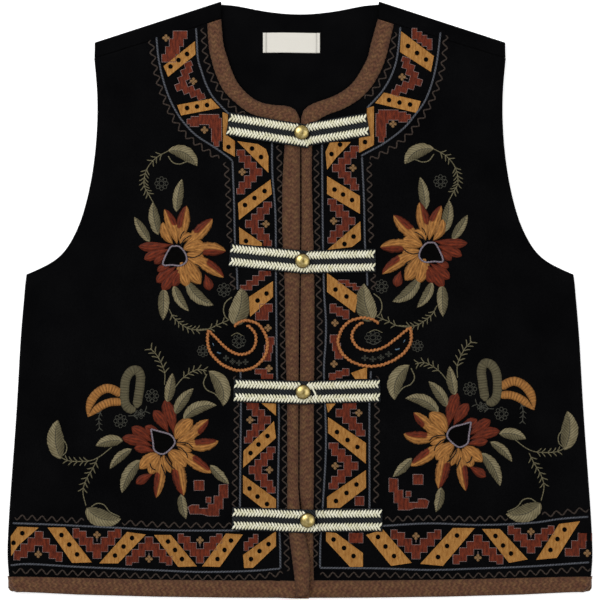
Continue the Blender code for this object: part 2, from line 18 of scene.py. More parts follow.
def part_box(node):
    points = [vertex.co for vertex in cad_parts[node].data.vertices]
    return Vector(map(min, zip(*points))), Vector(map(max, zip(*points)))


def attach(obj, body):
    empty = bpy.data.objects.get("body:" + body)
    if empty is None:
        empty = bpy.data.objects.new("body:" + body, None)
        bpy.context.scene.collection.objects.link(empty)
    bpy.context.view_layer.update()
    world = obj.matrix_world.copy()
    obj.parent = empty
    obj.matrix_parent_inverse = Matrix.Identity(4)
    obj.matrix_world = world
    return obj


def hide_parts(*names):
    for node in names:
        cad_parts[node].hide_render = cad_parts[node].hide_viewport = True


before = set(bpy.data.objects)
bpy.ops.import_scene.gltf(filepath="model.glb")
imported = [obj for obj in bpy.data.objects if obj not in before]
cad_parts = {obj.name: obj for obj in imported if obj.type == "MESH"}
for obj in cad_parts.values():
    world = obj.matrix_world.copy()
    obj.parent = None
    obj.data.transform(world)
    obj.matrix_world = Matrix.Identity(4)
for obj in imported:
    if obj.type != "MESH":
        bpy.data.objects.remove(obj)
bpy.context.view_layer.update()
bpy.ops.object.select_all(action="DESELECT")
MM = 0.001
print("nodes", sorted(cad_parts))

# %% [markdown]
# The camera looks straight down on the vest, as a shop's photographer does for a flat lay. A long lens from two
# metres keeps the edges free of perspective. The picture is square and 540 mm wide.

# %% Camera
PICTURE_WIDTH = 0.54
PICTURE_MIDDLE = -0.00045  # the picture's middle lies half a chart square below the vest's
CAMERA_HEIGHT = 2.0
CLOTH_HEIGHT = 0.0045  # the level at which the picture has its width
SENSOR_WIDTH = 36
bpy.ops.object.camera_add(location=(0, PICTURE_MIDDLE, CAMERA_HEIGHT), rotation=(0, 0, 0))
camera = bpy.context.object
camera.name = "camera_above"
camera.data.sensor_width = SENSOR_WIDTH
camera.data.lens = SENSOR_WIDTH * (CAMERA_HEIGHT - CLOTH_HEIGHT) / PICTURE_WIDTH
bpy.context.scene.camera = camera
print("camera", round(camera.data.lens, 1), "mm lens")

# %% [markdown]
# A flat lay like this is shot on a light table: white acrylic that glows a little, so it drowns the shadows round the
# cloth. Above it hang two large soft lights, the stronger one at the upper left, so that raised thread and braid still
# throw small soft shadows. The room above is darker than its walls, which gives polished metal its dark middle.

# %% Floor and lights
bpy.context.scene.view_settings.view_transform = "Standard"


def to_linear(hex_colour):
    """A colour written in sRGB hex, as Blender's linear RGBA."""
    parts = [int(hex_colour[k : k + 2], 16) / 255 for k in (1, 3, 5)]
    return tuple(c / 12.92 if c <= 0.04045 else ((c + 0.055) / 1.055) ** 2.4 for c in parts) + (1.0,)


def node(tree, kind, links=None, **settings):
    """Adds a node, sets its properties and inputs, and links inputs to other nodes' outputs."""
    made = tree.nodes.new(kind)
    for key, value in settings.items():
        if hasattr(made, key) and key not in made.inputs:
            setattr(made, key, value)
        else:
            made.inputs[key.replace("_", " ")].default_value = value
    for key, source in (links or {}).items():
        tree.links.new(source, made.inputs[key])
    return made


def new_material(name):
    """An empty material and its node tree."""
    made = bpy.data.materials.new(name)
    made.use_nodes = True
    made.node_tree.nodes.clear()
    return made, made.node_tree


acrylic, tree = new_material("glowing_white_acrylic")
shader = node(tree, "ShaderNodeBsdfDiffuse", Color=to_linear("#f6f6f6"))
glow = node(tree, "ShaderNodeEmission", Color=to_linear("#ffffff"), Strength=0.5)
both = node(tree, "ShaderNodeAddShader", {0: shader.outputs[0], 1: glow.outputs[0]})
node(tree, "ShaderNodeOutputMaterial", {"Surface": both.outputs[0]})
bpy.ops.mesh.primitive_plane_add(size=8, location=(0, 0, -0.0004))  # just under the cloth
floor = bpy.context.object
floor.name = "light_table"
floor.data.materials.append(acrylic)

world = bpy.data.worlds.new("studio")
bpy.context.scene.world = world
world.use_nodes = True
backdrop = world.node_tree.nodes["Background"]
look = node(world.node_tree, "ShaderNodeTexCoord")
ceiling = node(world.node_tree, "ShaderNodeMapping", {"Vector": look.outputs["Generated"]}, Scale=(5.5, 2.6, 0.0))
ceiling = node(world.node_tree, "ShaderNodeVectorMath", {0: ceiling.outputs[0]}, operation="LENGTH")
ceiling = node(
    world.node_tree,
    "ShaderNodeMapRange",
    {"Value": ceiling.outputs["Value"]},
    From_Min=0.35,
    To_Min=0.1,
    To_Max=0.5,
)
world.node_tree.links.new(ceiling.outputs[0], backdrop.inputs["Strength"])
backdrop.inputs["Color"].default_value = to_linear("#ffffff")


def softbox(name, place, size, power):
    """A square area light that faces the middle of the vest."""
    light = bpy.data.lights.new(name, "AREA")
    light.shape = "RECTANGLE"
    light.size, light.size_y = size
    light.energy = power
    made = bpy.data.objects.new(name, light)
    bpy.context.scene.collection.objects.link(made)
    made.location = place
    made.rotation_euler = (-Vector(place)).to_track_quat("-Z", "Y").to_euler()


softbox("key_softbox", (-1.1, 1.0, 1.5), (1.5, 1.5), 29)
softbox("fill_softbox", (1.3, -0.2, 1.6), (1.8, 1.8), 12)

# %% [markdown]
# The embroidery is placed from a chart, as it would be marked on the cloth: one chart square is 0.9 mm, x runs to
# the right and y runs down, and (300, 299.5) is the middle of the vest. Other places are given in millimetres out
# from the centre line and down from the shoulder.

# %% Chart
SQUARE = 0.9  # mm
CHART_WIDTH = 600  # squares
CHART_TOP = 269.55  # mm from the middle of the vest up to the chart's first row
SHOULDER_Y = 268.65  # mm from the middle of the vest up to the shoulder


def chart(x, y):
    """A chart point as millimetres in the vest's own frame."""
    return (x - CHART_WIDTH / 2) * SQUARE, CHART_TOP - SQUARE * y


print("the chart spans", CHART_WIDTH * SQUARE, "mm")


# %% [markdown]
# ## Velvet
#
# Each panel is a copy of its solid. The copy is merged and joined into quads, so that Subdivision Surface gives it
# soft turned edges. Cloth that lies on a table is never quite flat, so a few long low ridges run where a vest is
# pulled: from the underarm, from the shoulder and above the hem. They fade out under the trims, which lie flat.

# %% Creases
CREASES = [  # from x, y to x, y in mm for one side, width, height
    ((236, 10), (120, -40), 11, 0.9),
    ((240, -20), (150, -95), 13, 0.7),
    ((190, 60), (110, 90), 12, 0.8),
    ((175, 195), (120, 120), 12, 0.6),
    ((225, -110), (120, -170), 14, 0.6),
    ((205, 40), (235, -60), 10, 0.7),
    ((160, 230), (150, 150), 9, 0.5),
    ((245, -150), (190, -215), 12, 0.5),
]
FLAT_WITHIN = 82.0  # mm from the centre line that the trims and bands keep flat
FLAT_REACH = 50.0  # mm further out, over which the ridges grow to their full height
HEM_CALM = -205.0  # mm, where the ridges start to sink toward the hem braid
HEM_REACH = 40.0
SIDE_SHIFT = 6.0  # mm that a ridge lies higher on one front than on the other


def crease_height(x, y, hand):
    """How far the cloth rises at a point, in millimetres."""
    out = abs(x)
    rise = 0.0
    for index, ((x0, y0), (x1, y1), width, height) in enumerate(CREASES):
        shift = SIDE_SHIFT * hand * (index % 3 - 1)
        ax, ay, bx, by = x0, y0 + shift, x1, y1 - shift
        dx, dy = bx - ax, by - ay
        t = ((out - ax) * dx + (y - ay) * dy) / (dx * dx + dy * dy)
        t_in = min(max(t, 0.0), 1.0)
        gap = math.hypot(out - ax - t_in * dx, y - ay - t_in * dy)
        rise += height * math.exp(-((gap / width) ** 2)) * (0.55 + 0.45 * math.sin(math.pi * t_in))
    rise += 0.45 * (0.5 + 0.5 * noise.noise(Vector((x / 42.0 + 9 * hand, y / 55.0, 0.3))))
    fade = min(max((out - FLAT_WITHIN) / FLAT_REACH, 0.0), 1.0)
    low = min(max((y - HEM_CALM) / HEM_REACH, 0.0), 1.0)
    return rise * fade * fade * (3 - 2 * fade) * (0.25 + 0.75 * low)


print("the cloth rises", round(crease_height(180.0, -15.0, 1), 2), "mm below the left underarm")

# %% Panels
RAY_START = 60.0  # mm, above everything on the table
VELVET_TOP = 3.9  # mm, taken for the velvet where a ray misses it


def cloth_copy(node_name, name, levels):
    """A merged, subdivided copy of a CAD panel, with its turned edges held."""
    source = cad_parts[node_name]
    made = bpy.data.objects.new(name, source.data.copy())
    bpy.context.scene.collection.objects.link(made)
    body = bmesh.new()
    body.from_mesh(made.data)
    bmesh.ops.remove_doubles(body, verts=body.verts, dist=0.00002)
    bmesh.ops.join_triangles(body, faces=body.faces, angle_face_threshold=0.35, angle_shape_threshold=1.2)
    crease = body.edges.layers.float.new("crease_edge")
    for edge in body.edges:
        if len(edge.link_faces) == 2 and edge.calc_face_angle(0) > 1.0:
            edge[crease] = 1.0
    body.to_mesh(made.data)
    body.free()
    made.data.materials.clear()
    smooth = made.modifiers.new("subdivide", "SUBSURF")
    smooth.levels = smooth.render_levels = levels
    bpy.context.view_layer.objects.active = made
    made.select_set(True)
    bpy.ops.object.modifier_apply(modifier="subdivide")
    bpy.ops.object.shade_smooth()
    made.select_set(False)
    return made


def tree_of(made):
    """What rays are cast on, in millimetres."""
    mesh = made.data
    mesh.calc_loop_triangles()
    points = [v.co / MM for v in mesh.vertices]
    return BVHTree.FromPolygons(points, [tuple(t.vertices) for t in mesh.loop_triangles])


def drop(cloth, x, y):
    """The point where a ray from above meets a cloth, or None."""
    return cloth.ray_cast(Vector((x, y, RAY_START)), Vector((0, 0, -1)))[0]


velvet_right = cloth_copy("front_right", "velvet_front_right", 3)
velvet_left = cloth_copy("front_left", "velvet_front_left", 3)
velvet_back = cloth_copy("back", "velvet_back", 3)
for panel, hand in ((velvet_right, -1), (velvet_left, 1)):
    for vertex in panel.data.vertices:
        vertex.co.z += crease_height(vertex.co.x / MM, vertex.co.y / MM, hand) * MM
for vertex in velvet_back.data.vertices:
    x, y, z = vertex.co / MM
    if z < 0.4:  # the underside
        vertex.co.z += 0.35 * (0.5 + 0.5 * noise.noise(Vector((x / 38.0, y / 46.0, 5.0)))) * MM
    elif z < 2.0 and abs(x) < 50 and y > 190:  # what shows inside the neck
        vertex.co.z += 0.25 * noise.noise(Vector((x / 30.0, y / 36.0, 2.0))) * MM
for panel in (velvet_right, velvet_left, velvet_back):
    panel.data.update()
    print(panel.name, len(panel.data.polygons), "faces")

front_trees = [tree_of(velvet_right), tree_of(velvet_left)]


def top_of(x, y):
    """The height of the velvet's upper face at a point, in millimetres."""
    hits = [drop(cloth, x, y) for cloth in front_trees]
    return max([hit.z for hit in hits if hit is not None], default=VELVET_TOP)


# %% [markdown]
# Cotton velvet is cut pile: thousands of short upright threads that trap light, so black velvet is darker than any
# flat black cloth and only brightens where it turns away, which the shader's sheen gives. The pile lies in slightly
# different directions where the cloth was handled, so a slow noise shifts the colour between two blacks. The pile
# itself is 0.3 mm, too fine to show, and is drawn at 0.9 mm.

# %% Helpers for the materials
def two_tones(tree, factor, dark, light, low=0.32, high=0.68):
    """A colour that passes from dark to light while the factor goes from low to high."""
    ramp = node(tree, "ShaderNodeValToRGB", {"Fac": factor})
    stops = ramp.color_ramp.elements
    stops[0].position, stops[0].color = low, to_linear(dark)
    stops[1].position, stops[1].color = high, to_linear(light)
    return ramp.outputs["Color"]


def shade_hollows(tree, colour, low, high, dark, light):
    """Darkens a colour where the piece's relief is low."""
    raised = node(tree, "ShaderNodeAttribute", attribute_name="relief")
    limits = {"From_Min": low, "From_Max": high, "To_Min": dark, "To_Max": light}
    hollow = node(tree, "ShaderNodeMapRange", {"Value": raised.outputs["Fac"]}, **limits)
    return node(tree, "ShaderNodeVectorMath", {0: colour, "Scale": hollow.outputs[0]}, operation="SCALE").outputs[0]


def surface(tree, colour, height, strength, distance, **settings):
    """A material's last nodes. height bends the normal, by up to a distance in metres."""
    bump = node(tree, "ShaderNodeBump", {"Height": height}, Strength=strength, Distance=distance)
    links = {"Base Color": colour, "Normal": bump.outputs["Normal"]}
    shader = node(tree, "ShaderNodeBsdfPrincipled", links, **settings)
    node(tree, "ShaderNodeOutputMaterial", {"Surface": shader.outputs[0]})


print("the lighter black reflects", round(to_linear("#09090a")[0], 4), "of the light")

# %% Velvet material
velvet, tree = new_material("black_cotton_velvet")
place = node(tree, "ShaderNodeTexCoord")
handled = node(tree, "ShaderNodeTexNoise", {"Vector": place.outputs["Object"]}, Scale=22.0, Detail=3.0)
pile = node(tree, "ShaderNodeTexNoise", {"Vector": place.outputs["Object"]}, Scale=1100.0, Detail=2.0)
blend = node(tree, "ShaderNodeMath", {0: handled.outputs["Fac"], 1: pile.outputs["Fac"]}, operation="MULTIPLY")
surface(
    tree,
    two_tones(tree, blend.outputs[0], "#030304", "#09090a", low=0.12, high=0.42),
    pile.outputs["Fac"],
    strength=0.35,
    distance=0.0004,
    Roughness=0.95,
    Specular_IOR_Level=0.03,
    Sheen_Weight=0.02,
    Sheen_Roughness=0.35,
    Sheen_Tint=to_linear("#c8ccd8"),
)
for panel in (velvet_right, velvet_left, velvet_back):
    panel.data.materials.append(velvet)
print(velvet.name, "on three panels")

# %% [markdown]
# ## Wool braid
#
# The braid is a knitted wool tape: columns of small V-shaped stitches in a brown yarn spun from reddish and olive
# strands. A picture of stitches would look flat at the turned edge, so the stitches are real relief: each braid is a
# fine loft along its own edge table, and the height of every point comes from the stitch pattern. A real stitch is
# about 2.5 mm long, and is drawn at 4.6 mm in three columns so that it shows.


# %% Making a piece
def new_piece(name, points, faces, material, uvs=None, closed=True):
    """A smooth piece from points in millimetres, with a UV for each point. A closed one has its faces turned out."""
    mesh = bpy.data.meshes.new(name)
    mesh.from_pydata((np.asarray(points, float) * MM).tolist(), [], faces)
    if closed:
        body = bmesh.new()
        body.from_mesh(mesh)
        bmesh.ops.recalc_face_normals(body, faces=body.faces)
        body.to_mesh(mesh)
        body.free()
    if uvs is not None:
        layer = mesh.uv_layers.new(name="weave")
        corners = np.zeros(len(mesh.loops), int)
        mesh.loops.foreach_get("vertex_index", corners)
        layer.data.foreach_set("uv", np.asarray(uvs, float).reshape(-1, 2)[corners].ravel())
    mesh.shade_smooth()
    mesh.materials.append(material)
    made = bpy.data.objects.new(name, mesh)
    bpy.context.scene.collection.objects.link(made)
    return made


def give_relief(made, values):
    """Writes how raised or how bright each point of a piece is, for its material."""
    raised = made.data.attributes.new("relief", "FLOAT", "POINT")
    raised.data.foreach_set("value", np.asarray(values, float).ravel())


def loft(name, rings, uvs, material, relief=None):
    """A closed body through rings of points in millimetres. uvs and relief give a value for each point."""
    rings = np.asarray(rings, float)
    count, around = rings.shape[:2]
    index = np.arange(count * around).reshape(count, around)
    turned = np.roll(index, -1, axis=1)
    quads = np.stack([index[:-1], turned[:-1], turned[1:], index[1:]], axis=-1).reshape(-1, 4)
    faces = quads.tolist() + [index[0][::-1].tolist(), index[-1].tolist()]
    made = new_piece(name, rings.reshape(-1, 3), faces, material, uvs)
    if relief is not None:
        give_relief(made, relief)
    return made


def smooth_path(points, step):
    """Points on a Catmull-Rom curve through the given rows, about a step apart along the first two columns."""
    rows = np.asarray(points, float)
    padded = np.vstack([2 * rows[0] - rows[1], rows, 2 * rows[-1] - rows[-2]])
    made = []
    for k in range(1, len(padded) - 2):
        p0, p1, p2, p3 = padded[k - 1 : k + 3]
        pieces = max(1, int(round(np.linalg.norm((p2 - p1)[:2]) / step)))
        square, cube = 2 * p0 - 5 * p1 + 4 * p2 - p3, 3 * p1 - p0 - 3 * p2 + p3
        for t in np.arange(pieces) / pieces:
            made.append(0.5 * (2 * p1 + (p2 - p0) * t + square * t**2 + cube * t**3))
    made.append(rows[-1])
    return np.array(made)


print("a corner becomes a curve of", len(smooth_path([(0, 0), (10, 0), (10, 10)], 1.0)), "points")

# %% Wool material
wool, tree = new_material("brown_knitted_wool")
place = node(tree, "ShaderNodeUVMap", uv_map="weave")
# The UV map is in millimetres. The yarn changes colour about every 6 mm, and its fibres are 0.3 mm.
strands = node(tree, "ShaderNodeTexNoise", {"Vector": place.outputs["UV"]}, Scale=0.17, Detail=5.0, Roughness=0.8)
fibres = node(tree, "ShaderNodeTexNoise", {"Vector": place.outputs["UV"]}, Scale=3.2, Detail=3.0)
tone = two_tones(tree, strands.outputs["Fac"], "#6a4434", "#8e6e4a", low=0.36, high=0.64)
middle = tone.node.color_ramp.elements.new(0.5)
middle.color = to_linear("#7c583f")
mixed = node(
    tree,
    "ShaderNodeMixRGB",
    {"Fac": fibres.outputs["Fac"], "Color1": tone},
    blend_type="OVERLAY",
    Color2=to_linear("#74583f"),
)
surface(
    tree,
    shade_hollows(tree, mixed.outputs[0], low=0.1, high=0.8, dark=0.46, light=0.93),
    fibres.outputs["Fac"],
    strength=0.6,
    distance=0.0004,
    Roughness=0.85,
    Specular_IOR_Level=0.2,
    Sheen_Weight=0.1,
    Sheen_Roughness=0.5,
)
print(wool.name, "has", len(tree.nodes), "nodes")

# %% Braid along the neck and the front edges
BRAID_BASE = 4.2  # mm, where the braid lies on the velvet
BRAID_RISE = 1.75
STITCH_PITCH = 4.6  # mm along the braid
COLUMNS_ACROSS = 3
ACROSS = 25  # points across a braid
RING_STEP = 0.7  # mm between the cross sections of a braid
STITCH_DEPTH = 0.95  # mm

# The braid's two edges for each front, from the shoulder round the neck and down, as distances out from the centre
# line and down from the shoulder, in millimetres, with how far the braid is lifted by the lap
RIGHT_EDGE = [
    (71.0, 16.45, 83.5, 20.4, 0), (69.0, 38.0, 82.0, 42.0, 0), (65.5, 50.5, 79.0, 55.5, 0),
    (62.0, 61.0, 75.0, 68.0, 0), (56.5, 73.0, 68.5, 81.0, 0), (47.5, 83.5, 57.5, 92.0, 0),
    (37.0, 90.5, 45.0, 101.0, 0), (24.5, 93.5, 30.5, 105.5, 0), (12.5, 94.5, 20.5, 108.5, 0),
    (4.5, 98.0, 14.5, 112.0, 0), (0.2, 106.0, 12.5, 117.0, 0), (-0.2, 123.5, 13.5, 126.0, 0),
    (-0.2, 160.0, 15.7, 161.5, 0), (-0.2, 188.0, 16.0, 189.0, 0), (-0.2, 202.0, 16.0, 202.5, 0),
    (-0.2, 213.0, 15.7, 213.0, 0), (-0.1, 227.0, 15.0, 227.0, 0), (0.1, 245.0, 14.2, 245.0, 0),
    (0.5, 269.0, 13.5, 269.0, 0), (1.0, 309.5, 13.0, 309.5, 0), (1.3, 354.5, 11.8, 354.5, 0),
    (1.4, 395.0, 11.5, 395.0, 0), (1.3, 435.5, 11.5, 435.5, 0), (0.5, 452.0, 11.5, 452.0, 1),
    (-1.3, 467.0, 11.0, 467.0, 1), (-5.0, 483.0, 9.5, 483.0, 1), (-8.5, 501.5, 7.0, 502.0, 1),
    (-8.7, 517.2, 5.0, 518.2, 1), (-8.2, 526.0, 4.0, 527.5, 1.45), (-7.4, 533.0, 3.4, 536.2, 1.45),
]
LEFT_EDGE = [
    (70.0, 16.45, 84.5, 20.9, 0), (64.0, 38.0, 79.8, 41.2, 0), (61.0, 50.5, 76.0, 55.0, 0),
    (56.0, 60.5, 70.6, 67.0, 0), (49.5, 71.0, 63.4, 78.4, 0), (41.5, 79.0, 52.4, 89.2, 0),
    (30.5, 85.5, 38.4, 97.3, 0), (19.5, 89.5, 25.2, 102.2, 0), (10.5, 93.0, 17.0, 107.0, 0),
    (3.8, 98.0, 13.5, 111.5, 0), (0.9, 106.0, 11.8, 117.0, 0), (1.2, 123.5, 11.0, 126.0, 0),
    (1.4, 160.0, 10.7, 161.5, 0), (1.4, 188.0, 11.4, 189.0, 0), (1.4, 202.0, 11.6, 202.5, 0),
    (1.2, 213.0, 12.0, 213.0, 0), (1.0, 227.0, 12.4, 227.0, 0), (0.8, 245.0, 12.7, 245.0, 0),
    (0.5, 269.0, 13.0, 269.0, 0), (0.3, 309.5, 13.0, 309.5, 0), (-0.2, 354.5, 12.5, 354.5, 0),
    (-0.4, 395.0, 12.5, 395.0, 0), (-0.4, 435.5, 12.5, 435.5, 0), (0.5, 452.0, 12.2, 452.0, 0),
    (0.7, 467.0, 12.0, 467.0, 0), (0.7, 483.0, 12.0, 483.0, 0), (0.7, 501.5, 12.0, 502.0, 0),
    (0.7, 521.4, 12.5, 522.0, 0),
]
LAP_LIFT = 4.1  # mm that the lap lifts the right front's edge near the hem


def stitch_relief(across, along):
    """The height of knitted V stitches, from 0 to 1, at a share across the braid and millimetres along it."""
    column = np.clip(across, 0.0, 0.9999) * COLUMNS_ACROSS
    inside = np.abs(2 * (column - np.floor(column)) - 1)
    uneven = 0.35 * np.sin(along * 0.9 + 5 * np.floor(column)) * np.sin(along * 0.23)
    phase = along / STITCH_PITCH - 0.55 * inside + 0.37 * np.floor(column) + 0.3 * uneven
    strand = 0.5 + 0.5 * np.cos(2 * math.pi * phase)
    leg = np.sin(math.pi * np.clip(inside, 0.15, 0.85))
    rounded = 1 - np.abs(2 * np.clip(across, 0, 1) - 1) ** 3
    return (0.25 + 0.75 * strand) * (0.6 + 0.4 * leg) * (0.35 + 0.65 * rounded)


def knit_rings(edge_rows, side):
    """Closed cross sections of a braid between two edges, with its stitches in relief."""
    points = [(side * a, SHOULDER_Y - b, side * c, SHOULDER_Y - d, e) for a, b, c, d, e in edge_rows]
    rows = smooth_path(points, RING_STEP)
    inner, outer, lift = rows[:, 0:2], rows[:, 2:4], rows[:, 4] * LAP_LIFT
    steps = np.linalg.norm(np.diff((inner + outer) / 2, axis=0), axis=1)
    along = np.concatenate([[0], np.cumsum(steps)])
    share = np.linspace(0, 1, ACROSS)
    relief = stitch_relief(share[None, :], along[:, None])
    crown = 1 - np.abs(2 * share - 1) ** 4
    height = 0.55 + (BRAID_RISE - 1.35) * crown[None, :] + STITCH_DEPTH * relief * (0.4 + 0.6 * crown[None, :])
    wobble = 0.25 * np.sin(2 * math.pi * along / STITCH_PITCH)
    width = np.linalg.norm(outer - inner, axis=1)
    edge = (outer - inner) / width[:, None]
    start, end = inner + edge * wobble[:, None] * 0.5, outer - edge * wobble[:, None] * 0.5
    place = start[:, None, :] + (end - start)[:, None, :] * share[None, :, None]
    base = BRAID_BASE + lift
    rings = np.zeros((len(rows), ACROSS + 2, 3))
    rings[:, 1:-1, :2] = place
    rings[:, 1:-1, 2] = base[:, None] + height
    rings[:, 0, :2], rings[:, -1, :2] = place[:, 0], place[:, -1]
    rings[:, 0, 2] = rings[:, -1, 2] = base
    uvs = np.zeros((len(rows), ACROSS + 2, 2))
    uvs[:, 1:-1, 0] = share[None, :] * width[:, None]
    uvs[:, -1, 0] = width + 1
    uvs[:, 0, 0] = -1
    uvs[:, :, 1] = along[:, None]
    shade = np.zeros((len(rows), ACROSS + 2))
    shade[:, 1:-1] = relief * (1 - 0.6 * np.abs(2 * share - 1) ** 3)  # the braid's sides roll under, into shade
    return rings, uvs, shade


braids = {}
for hand, side, rows in (("right", -1, RIGHT_EDGE), ("left", 1, LEFT_EDGE)):
    for part, first, last in (("neck", 0, 10), ("edge", 10, len(rows) - 1)):
        chosen = [tuple(row) for row in rows[first : last + 1]]
        rings, uvs, shade = knit_rings(chosen, side)
        shade *= 0.82 if part == "edge" else 1.0  # the front edges' braids are drawn darker all over: painted shade
        made = loft(f"wool_{part}_{hand}", rings, uvs, wool, shade)
        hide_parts(f"{part}_braid_{hand}")
        braids[f"{part}_{hand}"] = made
        print(made.name, len(made.data.polygons), "faces")

# %% [markdown]
# The hem braid lies on the velvet too, and turns under at the side. Its smooth form is the solid's, so each point is
# dropped onto the solid from above and then raised by its stitch.

# %% Hem braid
HEM_TOP = [(0.0, 521.5), (60.0, 521.6), (130.0, 520.8), (200.0, 519.3), (262.0, 517.7)]  # out, down
HEM_FOOT = [(0.0, 537.3), (60.0, 537.1), (130.0, 536.2), (200.0, 534.3), (257.0, 531.5)]
HEM_CORNER = 4.5  # mm, the radius of the corner at the side
HEM_WIDTH = 15.5  # mm


def hem_braid(hand, side):
    """The braid on one front's hem, from the front edge to the side fold."""
    cloth = tree_of(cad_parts[f"hem_braid_{hand}"])
    low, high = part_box(f"hem_braid_{hand}")
    nearest = (low.x if side > 0 else -high.x) / MM
    furthest = (high.x if side > 0 else -low.x) / MM
    last_rings = furthest - np.array([1.6, 1.0, 0.55, 0.25, 0.1])
    outs = np.concatenate([np.arange(nearest + 0.15, furthest - 2.0, RING_STEP), last_rings])
    share = np.linspace(0, 1, ACROSS)
    rings, uvs, shades = [], [], []
    top_at = np.interp(outs, [p[0] for p in HEM_TOP], [p[1] for p in HEM_TOP])
    foot_at = np.interp(outs, [p[0] for p in HEM_FOOT], [p[1] for p in HEM_FOOT])
    corner = np.clip((outs - (furthest - HEM_CORNER)) / HEM_CORNER, 0, 1)
    foot_at -= HEM_CORNER * (1 - np.sqrt(1 - corner**2))
    for x, top, foot in zip(outs, top_at, foot_at):
        ys = SHOULDER_Y - (top + (foot - top) * share)
        hits = [drop(cloth, side * x, y) for y in ys]
        found = [h.z for h in hits if h is not None]
        if not found:
            continue
        heights = [h.z if h is not None else min(found) for h in hits]
        relief = stitch_relief(share, x)
        crown = 1 - np.abs(2 * share - 1) ** 4
        end = min(1.0, (furthest - x) / 3.0)
        top_line = [h - 0.75 + STITCH_DEPTH * r * (0.4 + 0.6 * c) for h, r, c in zip(heights, relief, crown)]
        base = min(found) - 1.0 * end - 0.25
        ring = [(side * x, ys[0], base)] + [(side * x, y, z) for y, z in zip(ys, top_line)] + [(side * x, ys[-1], base)]
        rings.append(ring)
        uvs.append([(-1, x)] + [(s * HEM_WIDTH, x) for s in share] + [(HEM_WIDTH + 1, x)])
        shades.append([0.0] + list(relief) + [0.0])
    made = loft(f"wool_hem_{hand}", rings, uvs, wool, shades)
    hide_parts(f"hem_braid_{hand}")
    return made


for hand, side in (("right", -1), ("left", 1)):
    braids[f"hem_{hand}"] = hem_braid(hand, side)
wool_back_hem = cloth_copy("back_hem_braid", "wool_hem_back", 2)
layer = wool_back_hem.data.uv_layers.get("weave") or wool_back_hem.data.uv_layers.new(name="weave")
for loop in wool_back_hem.data.loops:
    point = wool_back_hem.data.vertices[loop.vertex_index].co / MM
    layer.data[loop.index].uv = (point.y, point.x)
low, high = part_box("back_hem_braid")
points = np.array([v.co for v in wool_back_hem.data.vertices])
give_relief(wool_back_hem, stitch_relief((high.y - points[:, 1]) / (high.y - low.y), points[:, 0] / MM))
wool_back_hem.data.materials.append(wool)
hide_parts("back_hem_braid")
braids["hem_back"] = wool_back_hem
print("braids", sorted(braids))

# %% [markdown]
# ## Where the frogs lie
#
# The embroidery runs on under the frog closures and is pressed flat there, so their places are set down first, in
# millimetres out from the centre line and down from the shoulder.

# %% Frog tables
FROGS = [  # right end out, down; left end out, down; middle down; where the loop climbs; button x
    (63.9, 110.7, 60.3, 111.2, 121.2, 33.0, 1.4),
    (62.1, 228.6, 67.0, 233.6, 235.0, 17.5, 2.2),
    (58.5, 350.6, 71.1, 350.6, 352.4, 17.5, 2.7),
    (59.9, 466.0, 72.9, 467.1, 467.6, 17.5, 6.8),
]
ON_PANEL, ON_BRAID, OVER_TONGUE = 4.2, 6.2, 7.5  # mm, the heights that a band's foot can have
BAND_THICK = 1.0
BAND_HALF = 10.5
PLAIT_MIDDLE = 5.85  # mm from the band's middle line
PLAIT_HALF = 2.75
STRAND_PITCH = 2.75
print("frogs", len(FROGS))

# %% [markdown]
# ## Embroidery
#
# The fronts are worked by machine in satin stitch: close parallel threads over a padding, which stand a little proud
# of the velvet. A petal or leaf is made as it is stitched: a spine is drawn, stitches are laid across it from edge to
# edge, and the padding lifts them in the middle. Overlapping petals then part from each other in dark grooves by
# themselves. Each point is dropped onto the velvet, so the work follows the cloth. The UV map carries the direction of
# the threads, and an attribute carries the colour of the thread, how near a point is to the shape's edge, where the
# material paints shade, and a shade of its own for each shape.

# %% Satin stitch
# A petal's cross section: where its points lie from edge to edge, and how high each stands.
ACROSS_SATIN = np.array([-1.0, -0.84, -0.45, 0.0, 0.45, 0.84, 1.0])
DOME_SATIN = np.array([-0.3, 0.62, 0.93, 1.0, 0.93, 0.62, -0.3])
STITCH_STEP = 1.3  # mm between rows of points along a spine
EDGE_ROUND = 0.5  # mm that a bar's edge is rounded
CLOTH_GRID = 7.0  # mm between the cuts that let a bar follow the cloth


def length_along(path):
    """The distance from the start of a path to each of its points."""
    return np.concatenate([[0], np.cumsum(np.linalg.norm(np.diff(path, axis=0), axis=1))])


def direction_along(path):
    """The direction of a path at each of its points."""
    tangent = np.gradient(path, axis=0)
    return tangent / np.maximum(np.linalg.norm(tangent, axis=1), 1e-9)[:, None]


